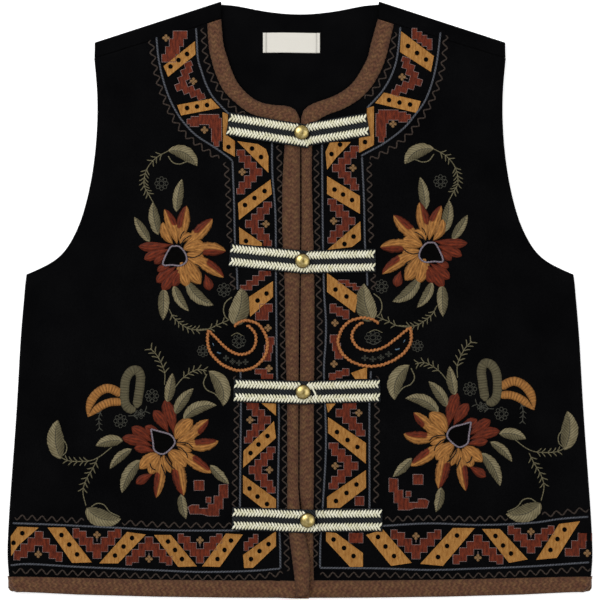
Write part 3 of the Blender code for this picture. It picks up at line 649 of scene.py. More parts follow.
class Satin:
    """Collects satin shapes of one family of threads, to be sewn on as one piece. Everything is in millimetres."""

    def __init__(self):
        self.points, self.faces, self.uvs, self.threads = [], [], [], []
        self.shapes = 0

    def own_shade(self):
        """Counts one more shape and gives it a shade of its own."""
        self.shapes += 1
        return 0.5 + 0.5 * noise.noise(Vector((self.shapes * 3.7, 0.2, 8.1)))

    def petal(self, spine, half, height, tone, lean=0.0, fray=0.16):
        """Stitches across a spine. half gives the half widths, tone(t, s) the thread, lean how the threads slant."""
        own = self.own_shade()
        spine, half = np.asarray(spine, float), np.asarray(half, float)
        tangent = direction_along(spine)
        normal = np.stack([-tangent[:, 1], tangent[:, 0]], axis=1)
        along = length_along(spine)
        first, widest, count = len(self.points), float(max(half)), len(spine)
        for k in range(count):
            t = k / (count - 1)
            swell = min(1.0, 5 * t + 0.25, 5 * (1 - t) + 0.25)
            for s, dome in zip(ACROSS_SATIN, DOME_SATIN):
                ragged = 1 + fray * noise.noise(Vector((k * 1.37, s * 2.1, self.shapes * 1.9))) * abs(s)
                x, y = spine[k] + normal[k] * s * half[k] * ragged
                self.points.append((x, y, dome * height * swell if dome > 0 else dome))
                if lean:
                    self.uvs.append((abs(s) * half[k], along[k] - lean * abs(s) * half[k]))
                else:
                    self.uvs.append((along[k], s * widest * 0.9))
                # painted shade at the shape's sides and at its two ends
                edge_shade = min(1.0, abs(s) ** 4 + (1.0 if k in (0, count - 1) else 0.0))
                self.threads.append((tone(t, s), edge_shade, own))
        wide = len(ACROSS_SATIN)
        for k in range(count - 1):
            for j in range(wide - 1):
                a = first + k * wide + j
                self.faces.append([a, a + wide, a + wide + 1, a + 1])

    def patch(self, outline, angle, tone=0.0, height=0.55, edge=EDGE_ROUND):
        """A flat filled shape with a rounded edge. angle is the direction of the threads in degrees."""
        own = self.own_shade()
        if sum(a[0] * b[1] - b[0] * a[1] for a, b in zip(outline, outline[1:] + outline[:1])) < 0:
            outline = outline[::-1]
        body = bmesh.new()
        ring = [body.verts.new((x, y, -0.3)) for x, y in outline]
        face = body.faces.new(ring)
        body.normal_update()
        inset = {"depth": 0.0, "use_even_offset": True, "use_boundary": True}
        bmesh.ops.inset_region(body, faces=[face], thickness=edge * 0.35, **inset)
        outer = set(ring)
        second = [v for v in body.verts if v not in outer]
        for vertex in second:
            vertex.co.z = height * 0.65
        middle = [f for f in body.faces if not any(v in outer for v in f.verts)]
        bmesh.ops.inset_region(body, faces=middle, thickness=edge * 0.65, **inset)
        rims = outer | set(second)
        for vertex in body.verts:
            if vertex not in rims:
                vertex.co.z = height
        bmesh.ops.triangulate(body, faces=body.faces[:], ngon_method="EAR_CLIP")
        low, high = np.min(outline, axis=0), np.max(outline, axis=0)
        for axis in (0, 1):
            cuts = int((high[axis] - low[axis]) // CLOTH_GRID)
            for k in range(cuts):
                at, across = [0, 0, 0], [0, 0, 0]
                at[axis] = low[axis] + (k + 1) * (high[axis] - low[axis]) / (cuts + 1)
                across[axis] = 1
                everything = body.verts[:] + body.edges[:] + body.faces[:]
                bmesh.ops.bisect_plane(body, geom=everything, plane_co=at, plane_no=across, dist=0.001)
        turn, first = math.radians(angle), len(self.points)
        body.verts.index_update()
        for vertex in body.verts:
            x, y, z = vertex.co
            self.points.append((x, y, z))
            self.uvs.append((x * math.cos(turn) + y * math.sin(turn), -x * math.sin(turn) + y * math.cos(turn)))
            # painted shade on the rounded edge: full on the outer ring, 0.45 on the next ring
            self.threads.append((tone, 1.0 if z < 0 else 0.45 if z < height * 0.9 else 0.0, own))
        self.faces += [[first + v.index for v in face.verts] for face in body.faces]
        body.free()

    def sew(self, name, material):
        """Drops every point onto the velvet and makes the piece."""
        dropped = [(x, y, top_of(x, y) + z) for x, y, z in self.points]
        made = new_piece(name, dropped, self.faces, material, self.uvs, closed=False)
        thread = made.data.attributes.new("thread", "FLOAT_VECTOR", "POINT")
        thread.data.foreach_set("vector", np.asarray(self.threads, float).ravel())
        return made


print("a satin shape has", len(ACROSS_SATIN), "points across")

# %% [markdown]
# Lines are couched cord and stem stitch. A cord is a thin tube that swells and narrows once for every stitch that
# holds it down, which is what makes a sewn line look twisted.


# %% Cords
PRESSED = 0.75  # mm that a frog's band presses a cord into the velvet


class Cords:
    """Collects thin cords of one thread, to be sewn on as one piece."""

    def __init__(self, sides=6):
        self.points, self.faces, self.uvs, self.sides = [], [], [], sides

    def add(self, points, radius, twist=2.4, lift=0.0, step=0.9, closed=False, smooth=True):
        """points in millimetres, twist the length of one stitch."""
        rows = [tuple(p) for p in points] + ([tuple(points[0])] if closed else [])
        path = smooth_path(rows, step) if smooth else np.array(rows, float)
        tangent, along = direction_along(path), length_along(path)
        first, count, sides = len(self.points), len(path), self.sides
        for k in range(count):
            swell = 0.74 + 0.26 * abs(math.sin(math.pi * along[k] / twist))
            r = radius * swell * (1.0 if closed or 0 < k < count - 1 else 0.4)
            across = np.array([-tangent[k][1], tangent[k][0]])
            ground = top_of(*path[k]) + lift + radius * 0.35
            if under_band(*path[k]):
                ground -= PRESSED
            for j in range(sides):
                a = 2 * math.pi * j / sides
                x, y = path[k] + across * math.cos(a) * r
                self.points.append((x, y, ground + math.sin(a) * r * 0.8))
                self.uvs.append((along[k], a * radius))
        for k in range(count - 1):
            for j in range(sides):
                a, b = first + k * sides + j, first + k * sides + (j + 1) % sides
                self.faces.append([b, a, a + sides, b + sides])
        self.faces.append([first + j for j in range(sides)])
        self.faces.append([first + (count - 1) * sides + j for j in range(sides)][::-1])

    def sew(self, name, material):
        """Makes the piece."""
        return new_piece(name, self.points, self.faces, material, self.uvs, closed=False)


def under_band(x, y):
    """Whether a frog's band covers a point."""
    for right_out, right_down, left_out, left_down, middle_down, *_ in FROGS:
        if -right_out < x < left_out:
            end = right_down if x < 0 else left_down
            share = min(abs(x) / (right_out if x < 0 else left_out), 1.0)
            if abs(SHOULDER_Y - (middle_down + (end - middle_down) * share) - y) < BAND_HALF + 1:
                return True
    return False


def zigzag(points, pitch=10.5, amplitude=2.5):
    """A rounded zigzag along a path, in chart squares."""
    path = smooth_path(points, 0.5)
    along, tangent = length_along(path), direction_along(path)
    turns = max(1, round(along[-1] / pitch))
    made = []
    for d in np.linspace(0, along[-1], turns * 8 + 1):
        x, y = (np.interp(d, along, path[:, i]) for i in (0, 1))
        tx, ty = (np.interp(d, along, tangent[:, i]) for i in (0, 1))
        wave = math.asin(0.8 * math.sin(2 * math.pi * turns * d / along[-1])) / math.asin(0.8)
        made.append((x - ty * amplitude * wave, y + tx * amplitude * wave))
    return made


print("60 mm of zigzag has", len(zigzag([(0, 0), (60, 0)])), "points")

# %% [markdown]
# The threads are rayon: smooth and slightly glossy along the stitch. A wave across the stitch direction shades thread
# from thread, and noise stretched along it varies the dye. Where one colour passes into another, the same noise makes
# long and short stitches. Real threads are 0.4 mm, and are drawn 1.2 to 2.7 mm wide so that they show. The stitches
# of a couched cord are about 1 mm, and are drawn 1.6 to 3 mm long.


# %% Thread materials
def satin_material(name, first, second, pitch=1.2, rim=0.62, depth=0.72, gloss=0.12):
    """Two threads, each as a dark and a light shade, mixed by the piece's own attribute."""
    made, tree = new_material(name)
    place = node(tree, "ShaderNodeUVMap", uv_map="weave")
    thread = node(tree, "ShaderNodeAttribute", attribute_name="thread")
    parts = node(tree, "ShaderNodeSeparateXYZ", {"Vector": thread.outputs["Vector"]})
    stretched = node(tree, "ShaderNodeMapping", {"Vector": place.outputs["UV"]}, Scale=(0.16, 0.55, 1.0))
    dye = node(tree, "ShaderNodeTexNoise", {"Vector": stretched.outputs[0]}, Scale=1.0, Detail=3.0, Roughness=0.6)
    wave = node(
        tree,
        "ShaderNodeTexWave",
        {"Vector": place.outputs["UV"]},
        wave_type="BANDS",
        bands_direction="Y",
        Scale=0.314 / pitch,  # one band for each pitch in millimetres
        Distortion=1.2,
        Detail=2.0,
        Detail_Scale=1.0,
    )
    uneven = node(tree, "ShaderNodeMath", {0: dye.outputs["Fac"], 2: parts.outputs["X"]}, operation="MULTIPLY_ADD")
    uneven.inputs[1].default_value = 0.9
    meet = node(tree, "ShaderNodeMapRange", {"Value": uneven.outputs[0]}, From_Min=0.82, From_Max=1.06)
    mixed = node(
        tree,
        "ShaderNodeMixRGB",
        {
            "Fac": meet.outputs[0],
            "Color1": two_tones(tree, dye.outputs["Fac"], *first),
            "Color2": two_tones(tree, dye.outputs["Fac"], *second),
        },
    )
    groove = node(tree, "ShaderNodeMapRange", {"Value": wave.outputs["Fac"]}, To_Min=depth, To_Max=1.0)
    # edge darkens the colour toward each shape's edge: painted shade where it meets the velvet and its neighbours
    edge = node(tree, "ShaderNodeMapRange", {"Value": parts.outputs["Y"]}, To_Min=1.0, To_Max=1.0 - rim)
    own = node(tree, "ShaderNodeMapRange", {"Value": parts.outputs["Z"]}, To_Min=0.8, To_Max=1.12)
    shade = node(tree, "ShaderNodeMath", {0: groove.outputs[0], 1: edge.outputs[0]}, operation="MULTIPLY")
    shade = node(tree, "ShaderNodeMath", {0: shade.outputs[0], 1: own.outputs[0]}, operation="MULTIPLY")
    coloured = node(tree, "ShaderNodeVectorMath", {0: mixed.outputs[0], "Scale": shade.outputs[0]}, operation="SCALE")
    shine = {"Roughness": 0.6, "Specular_IOR_Level": gloss}
    surface(tree, coloured.outputs[0], wave.outputs["Fac"], strength=0.6, distance=0.00025, **shine)
    return made


def cord_material(name, dark, light, pitch=2.4, depth=0.6):
    """A twisted cord, with painted shade in the dips where each stitch pulls it down."""
    made, tree = new_material(name)
    place = node(tree, "ShaderNodeUVMap", uv_map="weave")
    dye = node(tree, "ShaderNodeTexNoise", {"Vector": place.outputs["UV"]}, Scale=0.7, Detail=3.0)
    wave = node(
        tree,
        "ShaderNodeTexWave",
        {"Vector": place.outputs["UV"]},
        wave_type="BANDS",
        bands_direction="DIAGONAL",
        Scale=0.55 / pitch,
        Distortion=0.5,
    )
    # groove: painted shade in the cord's dips
    groove = node(tree, "ShaderNodeMapRange", {"Value": wave.outputs["Fac"]}, To_Min=depth, To_Max=1.0)
    colour = two_tones(tree, dye.outputs["Fac"], dark, light)
    coloured = node(tree, "ShaderNodeVectorMath", {0: colour, "Scale": groove.outputs[0]}, operation="SCALE")
    shine = {"Roughness": 0.7, "Specular_IOR_Level": 0.2}
    surface(tree, coloured.outputs[0], wave.outputs["Fac"], strength=0.5, distance=0.0002, **shine)
    return made


OCHRE, BAR_OCHRE, BEIGE = ("#805023", "#bb8243"), ("#a0682a", "#c9914c"), ("#6e5234", "#94714a")
DEEP_RUST, BAR_RUST, BLACK = ("#431609", "#792f16"), ("#481608", "#82341a"), ("#030202", "#060505")
# the second khaki pair is the leaves' khaki in painted shade, for the half of each leaf turned from the light
KHAKI, KHAKI_IN_SHADE = ("#665c40", "#94896a"), ("#433c2a", "#6e664b")
OLIVE, DARK_OLIVE = ("#443e2c", "#665f47"), ("#342f22", "#514b36")
SATINS = {
    "flower": satin_material("ochre_and_rust_petal_satin", OCHRE, DEEP_RUST, 2.6, depth=0.62),
    "bar": satin_material("ochre_and_rust_bar_satin", BAR_OCHRE, BAR_RUST, 1.3, depth=0.9),
    "leaf": satin_material("khaki_rayon_satin", KHAKI, KHAKI_IN_SHADE, 2.7, rim=0.25, depth=0.58),
    "loop": satin_material("olive_rayon_satin", OLIVE, DARK_OLIVE, 2.4, rim=0.45, depth=0.66),
    "speck": satin_material("beige_rayon_satin", BEIGE, BEIGE),
    "eyelet": satin_material("black_rayon_satin", BLACK, BLACK, rim=0.2, gloss=0.02),
}
CORDS = {
    "slate": cord_material("slate_grey_cord", "#3a3d45", "#5f6269", depth=0.4),
    "mauve": cord_material("grey_mauve_cord", "#665c66", "#8e848c"),
    "dull": cord_material("dull_mauve_thread", "#5e4c4a", "#94807c", pitch=1.6),
    "brown": cord_material("dark_brown_thread", "#28201b", "#42362e"),
    "stem": cord_material("grey_green_thread", "#4e4936", "#7c7558"),
    "faint": cord_material("faint_grey_thread", "#2c2c25", "#4a4940"),
    "sky": cord_material("pale_blue_thread", "#34485c", "#6c8494"),
    "orange": cord_material("orange_rayon_thread", "#94562a", "#c0804a", pitch=3.0),
    "seam": cord_material("black_thread", "#060505", "#0e0b0a"),
}
satins, cords = {}, {}
print(len(SATINS), "satins and", len(CORDS), "cords")

# %% [markdown]
# Each front is worked from its own chart. A group of motifs can be moved and turned over as a whole, because the
# wearer's left front repeats the right one's flowers as a mirror image, set slightly higher and further out.


# %% Placing
def plain(value):
    """A petal in one thread: 0 is its material's first colour and 1 its second."""
    return lambda t, s: value


def cored(side, start, end=1.2, edge=0.0):
    """A petal whose one side is rust between two shares of its length."""

    def tone(t, s):
        reach = min(max((t - start) / 0.12 + 0.5, 0.0), 1.0) * min(max((end - t) / 0.1 + 0.5, 0.0), 1.0)
        return min(max(0.5 + (s * side - edge) * 1.9, 0.0), 1.0) * reach

    return tone


def circle(x, y, wide, tall, count):
    """Points round an ellipse."""
    return [(x + wide * math.cos(a), y + tall * math.sin(a)) for a in np.linspace(0, 2 * math.pi, count + 1)[:-1]]


class Group:
    """A group of motifs on one front: a move in chart squares, turned over for the left front."""

    def __init__(self, hand, move=(0.0, 0.0), centre=(0.0, 0.0), size=(1.0, 1.0)):
        self.hand, self.move, self.centre, self.size = hand, move, centre, size
        self.side = -1 if hand == "right" else 1

    def to_cloth(self, point):
        """A point of the group's chart as millimetres in the vest's frame."""
        x = self.centre[0] + (point[0] - self.centre[0]) * self.size[0] + self.move[0]
        y = self.centre[1] + (point[1] - self.centre[1]) * self.size[1] + self.move[1]
        return chart(CHART_WIDTH - x if self.hand == "left" else x, y)

    def satin(self, family):
        """The satin shapes of this front in one family of threads."""
        return satins.setdefault((self.hand, family), Satin())

    def cord(self, thread, points, radius, **how):
        """A cord along chart points."""
        cords.setdefault((self.hand, thread), Cords()).add([self.to_cloth(p) for p in points], radius, **how)

    def patch(self, family, outline, degrees, **how):
        """A filled shape within chart points."""
        angle = -degrees if self.hand == "right" else 180 + degrees
        self.satin(family).patch([self.to_cloth(p) for p in outline], angle, **how)

    def petal(
        self, base, tip, width, bend=0.0, tone=plain(0), full=0.6, height=0.9, blunt=0.35, family="flower", lean=0.0
    ):
        """A petal from base to tip, widest at a share of its length, its middle bent sideways by bend."""
        base, tip = np.array(base, float), np.array(tip, float)
        along = tip - base
        length = np.linalg.norm(along)
        side = np.array([-along[1], along[0]]) / length
        count = max(7, int(length * 0.9 / STITCH_STEP))
        spine, half = [], []
        for t in np.linspace(0, 1, count):
            spine.append(self.to_cloth(base + along * t + side * bend * 4 * t * (1 - t)))
            warp = t ** (math.log(0.5) / math.log(full))
            swell = (1 - blunt) * math.sin(math.pi * warp) ** 0.8 + blunt * (1 - abs(2 * warp - 1) ** 5)
            half.append(max(width * 0.45 * swell, 0.12))
        self.satin(family).petal(spine, half, height, lambda t, s: tone(t, s * self.side), lean)

    def leaf(self, base, tip, width, bend=0.0, full=0.45, lit=-1, blunt=0.15, height=0.8):
        """A khaki leaf: slanting stitches to either side of a vein, one half in painted light and the other in painted
        shade.
        """

        def tone(t, s):
            # one half of the leaf in painted light and the other in painted shade, by the slant of its stitches; lit
            # says which half is lit
            return min(max(0.45 - 0.55 * s * lit, 0.0), 0.95)

        self.petal(base, tip, width, bend, tone, full, height, blunt, "leaf", lean=0.9)
        base, tip = np.array(base, float), np.array(tip, float)
        along = tip - base
        side = np.array([-along[1], along[0]]) / np.linalg.norm(along)
        vein = [base + along * t + side * bend * 4 * t * (1 - t) for t in (0.1, 0.35, 0.6, 0.86)]
        self.cord("faint", vein, 0.28, lift=height - 0.05)

    def band(self, family, path, width, tone=plain(0), height=0.8, taper=0.0):
        """A band with stitches straight across it, of even width or tapering over a share of its end."""
        spine = smooth_path([self.to_cloth(p) for p in path], STITCH_STEP)
        ends = np.linspace(0, 1, len(spine))
        half = width * 0.45 * np.clip(np.minimum(ends, 1 - ends) * 14 + 0.35, 0, 1)
        if taper:
            half = half * np.clip((1 - ends) / taper, 0.12, 1) ** 0.7
        self.satin(family).petal(spine, half, height, tone, 0.001, 0.1)

    def sprig(self, stem, leaflets, thread="stem"):
        """A stem with pairs of slanting leaflets: (from share, to share, pairs, length) along the stem."""
        self.cord(thread, stem, 0.5, twist=1.8)
        path = smooth_path(stem, 0.6)
        for start, end, pairs, length in leaflets:
            for k in range(pairs):
                at = start + (end - start) * k / max(pairs - 1, 1)
                index = min(int(at * (len(path) - 1)), len(path) - 2)
                here, ahead = path[index], path[index + 1]
                direction = (ahead - here) / max(np.linalg.norm(ahead - here), 1e-6)
                for sign in (-1, 1):
                    turn = math.radians(48 * sign)
                    c, s = math.cos(turn), math.sin(turn)
                    arm = np.array([direction[0] * c - direction[1] * s, direction[0] * s + direction[1] * c])
                    bent = here + arm * length * 0.5 + direction * 0.5
                    self.cord(thread, [here, bent, here + arm * length], 0.55, twist=3.0, step=1.4)

    def rosette(self, centre, radius, thread="faint", petals=8):
        """A little wheel of open loops round a knot."""
        for k in range(petals):
            a = 2 * math.pi * k / petals
            x, y = centre[0] + radius * 0.72 * math.cos(a), centre[1] + radius * 0.72 * math.sin(a)
            self.cord(thread, circle(x, y, radius * 0.27, radius * 0.27, 6), 0.36, closed=True, smooth=False)
        self.cord(thread, circle(*centre, radius * 0.33, radius * 0.33, 8), 0.36, closed=True)

    def bar(self, corners, dots, degrees=90):
        """An ochre bar with black eyelets along it."""
        self.patch("bar", corners, degrees, height=0.6)
        for x, y in dots:
            self.patch("eyelet", circle(x, y, 2.4, 2.5, 12), 0, height=0.72, edge=0.3)

    def stepped(self, outline, degrees=90):
        """A rust motif with stepped sides, edged in a dull thread."""
        self.patch("bar", outline, degrees, tone=1.0, height=0.55)
        self.cord("dull", outline, 0.45, closed=True, smooth=False, twist=1.6)

    def stair(self, start, end, thick, count, level=True):
        """A stepped rust band from start to end, of even thickness, its blocks level or upright."""
        (x0, y0), (x1, y1) = start, end
        upper, lower = [], []
        for k in range(count):
            a, b, m = k / count, (k + 1) / count, (k + 0.5) / count
            if level:
                x, y, xn = x0 + (x1 - x0) * a, y0 + (y1 - y0) * m, x0 + (x1 - x0) * b
                upper += [(x, y - thick / 2), (xn, y - thick / 2)]
                lower += [(x, y + thick / 2), (xn, y + thick / 2)]
            else:
                x, y, yn = x0 + (x1 - x0) * m, y0 + (y1 - y0) * a, y0 + (y1 - y0) * b
                upper += [(x - thick / 2, y), (x - thick / 2, yn)]
                lower += [(x + thick / 2, y), (x + thick / 2, yn)]
        self.stepped(upper + lower[::-1])

    def chevron(self, base, toward, reach, half, flower=True):
        """A stepped chevron: the middle of its base, the direction to its tip, its depth and half its length."""
        # each step: how far out it reaches, and the depths of its near and far side
        steps = [(0.17, 0.53, 1.0), (0.45, 0.32, 0.78), (0.74, 0.12, 0.57), (1.0, 0.03, 0.34)]
        near_side, far_side, before = [], [], 0.0
        for until, near, far in steps:
            far_side += [(before * half, far * reach), (until * half, far * reach)]
            near_side += [(before * half, near * reach), (until * half, near * reach)]
            before = until
        ring = [(-b, a) for b, a in far_side[::-1]] + far_side + near_side[::-1] + [(-b, a) for b, a in near_side]
        kept = []
        for p in ring:
            if not kept or abs(p[0] - kept[-1][0]) + abs(p[1] - kept[-1][1]) > 0.01:
                kept.append(p)
        if abs(kept[0][0] - kept[-1][0]) + abs(kept[0][1] - kept[-1][1]) < 0.01:
            kept.pop()
        size = math.hypot(*toward)
        tx, ty = toward[0] / size, toward[1] / size
        self.stepped([(base[0] + a * tx - b * ty, base[1] + a * ty + b * tx) for b, a in kept])
        if flower:
            heart = (base[0] + tx * reach * 0.24, base[1] + ty * reach * 0.24)
            self.flower(heart)
            self.cord("dull", [heart, (heart[0] + tx * reach * 0.22, heart[1] + ty * reach * 0.22)], 0.4)

    def flower(self, centre):
        """A four-petalled speck."""
        x, y = centre
        for dx, dy in ((1, 0), (-1, 0), (0, 1), (0, -1)):
            self.petal((x, y), (x + 3.9 * dx, y + 3.9 * dy), 3.6, full=0.6, height=0.5, family="speck")


print("the chart's middle lies at", Group("right").to_cloth((300, 299.5)))

# %% [markdown]
# ### Borders
#
# A border runs round the neck, down each front edge and along the hem: two slate blue cords, a brown zigzag outside
# each, and between them ochre bars that zigzag with stepped rust chevrons in their corners.

# %% Right border
right = Group("right")
OUTER_RIGHT = [
    (156.5, 37), (158, 54), (161, 71), (165, 86), (170, 99.5), (177, 113), (185, 124), (197, 136), (214, 147),
    (228, 157), (232.5, 161),
]
BLUE_RIGHT = [
    OUTER_RIGHT,
    [(232.5, 161), (234, 200), (235, 241), (237, 273), (237.5, 290)],
    [(240.5, 371), (241, 404), (240, 503), (240, 527)],
    [(196, 28), (197, 43), (198, 59), (201.5, 71), (206, 84), (213, 97), (222, 107), (232, 117)],
    [
        (272, 140), (272.5, 175), (275.5, 215), (276, 281), (276.5, 330), (277, 373), (279, 417), (278, 503),
        (280, 540), (280.5, 568.5),
    ],
    [(13, 523), (60, 525), (120, 528), (170, 530.5), (240, 530.5)],
    [(11, 565), (30, 564), (80, 567), (150, 570), (200, 572), (250, 571), (280.5, 568.5)],
]
ZIGZAG_RIGHT = [
    [(151, 40), (153, 56), (156.5, 74), (161, 90), (167, 106), (175.5, 122), (187, 136), (203, 148), (219, 159)],
    [(226, 162), (228.5, 200), (229.5, 243)],
    [(232, 273), (233, 290)],
    [(236, 376), (236.5, 420), (235, 470), (234.5, 522)],
    [
        (203.5, 28), (204, 40), (205.3, 55), (208.5, 68), (213.5, 80), (219, 90.5), (226, 100.5), (234, 108.5),
        (245, 115),
    ],
    [
        (279, 145), (280.5, 200), (281.5, 250), (282, 300), (283.5, 373), (284.5, 417), (285, 503), (286.5, 540),
        (287, 571),
    ],
    [(15, 517), (60, 519.5), (84, 521)],
    [(122, 522.5), (170, 525), (232, 525.5)],
    [(13, 570.5), (60, 572.5), (120, 575), (200, 577.5), (250, 577), (283, 573.5)],
]
for line in BLUE_RIGHT:
    right.cord("slate", line, 1.0)
for line in ZIGZAG_RIGHT:
    right.cord("brown", zigzag(line), 0.8, smooth=False)

RIGHT_BARS = (  # corners, then eyelets
    ([(195, 41), (195.5, 54.5), (168, 77), (163.5, 66)], [(187, 54), (178.5, 60), (170.5, 66.5)]),
    ([(177, 105), (211, 98.5), (220, 108), (181, 115.5)], [(187, 108), (197, 106.5), (207, 105)]),
    ([(222.5, 112), (228, 114), (228, 136), (235, 141), (235, 157), (223, 150)], [(228.5, 147)]),
    ([(237, 141), (258, 144), (266, 149), (268.5, 156), (268.5, 173)], [(252, 148.5), (261, 157)]),
    ([(238, 203), (270.5, 179.5), (272, 194), (239, 220)], [(245, 205), (254.5, 198), (264.5, 191)]),
    ([(239, 227), (262, 243), (262, 246), (239.5, 246)], [(246, 241)]),
    ([(249, 297), (273, 281), (273, 297), (250, 317)], [(266.5, 293.5), (257.5, 300.5)]),
    ([(260, 402), (276, 402), (276, 416)], []),
    ([(243.5, 451), (274, 421), (276, 438), (243, 468)], [(267.5, 436), (258.5, 444.5), (250.5, 453)]),
    ([(243, 475), (276, 499), (276, 508), (262, 508), (243, 493)], [(249.5, 488.5), (257.5, 496.5), (267, 504)]),
    ([(18, 526.5), (39, 527.5), (19, 545), (11.5, 556), (11, 536)], [(22.5, 533), (13.8, 542.5)]),
    ([(47.5, 527.5), (65, 527.5), (92, 562.5), (72, 563)], [(61.5, 535), (69.3, 544.5), (77, 554.3)]),
    ([(127, 532), (146, 534.5), (118, 563.5), (99, 563.5)], [(132, 538), (123.5, 546.5), (115, 555.5)]),
    ([(154, 535), (171, 535), (197, 566.5), (178, 567)], [(168, 541.5), (175, 550), (182, 559)]),
    ([(226, 533.5), (243, 534.5), (220, 567), (202, 566.5)], [(231, 540.5), (224.5, 550), (217.5, 559)]),
    ([(243, 555), (276, 531), (276, 546), (253, 568), (244, 568)], [(268.5, 544), (259.5, 551), (251, 559)]),
)
for corners, dots in RIGHT_BARS:
    right.bar(corners, dots)

right.stair((182, 31), (167, 62), 14, 4, level=False)
right.flower((166, 38))
right.chevron((199, 79), (-0.93, 0.37), 25, 20)
ELBOW = [  # the stepped corner where the border turns from the neck to the front edge
    (187, 119), (191, 119), (191, 116.5), (199, 116.5), (199, 114.5), (219, 114.5), (219, 118), (221.5, 118),
    (221.5, 141), (219, 141), (219, 146.5), (213.5, 146.5), (213.5, 142), (211.5, 142), (211.5, 128), (209, 128),
    (209, 124.5), (199, 124.5), (199, 126.5), (190, 126.5), (190, 124), (187, 124),
]
right.stepped(ELBOW)
right.flower((204.5, 130))
right.chevron((236, 172), (1, 0), 26, 22)
right.chevron((272.5, 224), (-1, 0), 27, 22)
right.stair((268, 271), (243, 290), 12, 4, level=False)
right.stair((268, 304), (260, 320), 13, 2, level=False)
right.flower((268, 328))
right.stair((271, 337), (266, 361), 8, 3, level=False)
right.stair((258, 369), (270, 379), 12, 2, level=False)
right.flower((269, 368.5))
right.chevron((243.5, 420), (1, 0), 27, 23)
right.chevron((276, 470), (-1, 0), 27, 23)
right.chevron((38, 561.5), (0.04, -1), 30, 24)
right.chevron((97, 527.5), (0, 1), 31, 24)
right.chevron((149, 566), (0, -1), 29, 23)
right.chevron((200, 533), (0, 1), 30, 22)
right.stair((258, 537), (244, 548), 9, 3)
print("right border", right.satin("bar").shapes, "bars and stepped shapes")

# %% Left border
# The left front's border is drawn from its own measures, because its bars fall in other places.
left = Group("left")


def over(*points):
    """Chart points of the left front, turned over so that the group turns them back."""
    return [(CHART_WIDTH - x, y) for x, y in points]


BLUE_LEFT = [
    [(440.6, 32), (437, 61), (432, 83), (425, 101), (415, 115), (404, 128), (386, 142), (372, 150), (361, 156)],
    [(362, 157), (364, 200), (365, 243), (367, 274), (367.5, 286)],
    [(371, 371), (369.5, 404), (369.5, 503), (369, 525)],
    [(400.5, 27), (398, 51.5), (395, 66), (390, 78.5), (382.8, 90.5), (375.2, 99.5), (367, 108)],
    [
        (322, 140), (322.5, 200), (323, 243), (324, 290), (326, 322), (325.5, 345), (324, 373), (326, 442),
        (323, 503), (320.5, 540), (320, 568),
    ],
    [(588, 516.5), (560, 519), (530, 523), (480, 525), (430, 523.5), (382, 526)],
    [(589, 562), (560, 564.5), (520, 567), (480, 568.5), (430, 570), (380, 568.5), (320, 568)],
]
ZIGZAG_LEFT = [
    [(445.5, 35), (444, 60), (439.5, 80), (433, 98), (425, 113), (415, 127), (404, 139), (390, 149), (370, 160)],
    [(369, 162), (370, 200), (371.5, 243)],
    [(373, 274), (374, 290)],
    [(376, 376), (377, 404), (377, 440), (376, 503)],
    [(394.5, 32), (393.5, 44), (391.5, 55), (388.5, 67), (384.5, 75.5), (379, 83.5), (373.5, 91), (365, 99)],
    [
        (316, 150), (317, 200), (317.5, 243), (318.5, 290), (320, 322), (319.5, 373), (319, 442), (318, 503),
        (316, 540), (314, 572),
    ],
    [(588, 509), (560, 513), (542, 515)],
    [(508, 518), (470, 519), (430, 518), (385, 519.5)],
    [(590, 568), (560, 571), (520, 573.5), (480, 575.5), (430, 576), (380, 575), (320, 575)],
]
for line in BLUE_LEFT:
    left.cord("slate", over(*line), 1.0)
for line in ZIGZAG_LEFT:
    left.cord("brown", zigzag(over(*line)), 0.8, smooth=False)

LEFT_BARS = (  # corners, then eyelets
    ([(401, 31), (434, 56), (431, 72), (400, 52)], [(408, 46), (417, 53), (426, 59.5)]),
    ([(384, 92.5), (421, 101), (417, 113), (375, 103)], [(389, 100), (399.5, 102.5), (410, 104.5)]),
    ([(367, 108), (374, 106), (374, 145), (359, 153), (359, 138), (366, 135)], [(365, 142)]),
    ([(330, 142), (351, 142), (336, 158), (327, 170), (325.5, 152)], [(340, 144.5), (331.5, 154)]),
    ([(327, 176), (360, 196), (360, 214), (327, 194)], [(334.5, 189.5), (343, 194.5), (352, 200)]),
    ([(327, 250), (360.5, 221), (361, 240), (352, 247)], [(353.5, 236.5), (344.5, 244)]),
    ([(327, 273), (330, 275), (358, 296), (355, 313), (327, 292)], [(335.5, 289.5), (346.5, 296.5)]),
    ([(326, 403), (337, 402), (328, 413)], []),
    ([(328, 417), (366, 443), (366, 464), (328, 433)], [(337, 432), (347.5, 440), (357.5, 447)]),
    ([(327, 497), (366, 470), (366, 488), (340, 508), (327, 508)], [(356.5, 484.5), (346.5, 493), (336, 501)]),
    (
        [(326, 532), (336, 533), (363, 553), (363, 567), (350, 567), (326, 541)],
        [(333.5, 539.5), (344, 548), (353.5, 556)],
    ),
    ([(366, 535), (383, 529.5), (412, 563), (391, 566)], [(378, 537), (385.5, 546.5), (394, 556)]),
    ([(453, 528), (475, 528), (443, 566), (420, 564)], [(457, 535.5), (447, 546), (438, 557)]),
    ([(482, 529), (500, 529), (528, 559.5), (509, 563)], [(495.5, 536), (503, 545.5), (511, 553.5)]),
    ([(559, 524), (580, 521), (557, 558), (536, 560)], [(564.5, 529.5), (557.5, 539), (550.5, 550)]),
    ([(351, 373), (367, 367), (367, 379), (355, 379)], []),
)
for corners, dots in LEFT_BARS:
    left.bar(over(*corners), over(*dots))
left.stair(*over((412, 32), (432, 46)), 11, 4)
left.chevron(*over((396, 75)), (-0.95, 0.3), 27, 20)
left.stepped([(x + 2.5, y - 4.5) for x, y in ELBOW])
left.flower(*over((393, 124)))
left.chevron(*over((359.5, 168)), (1, 0), 27, 22)
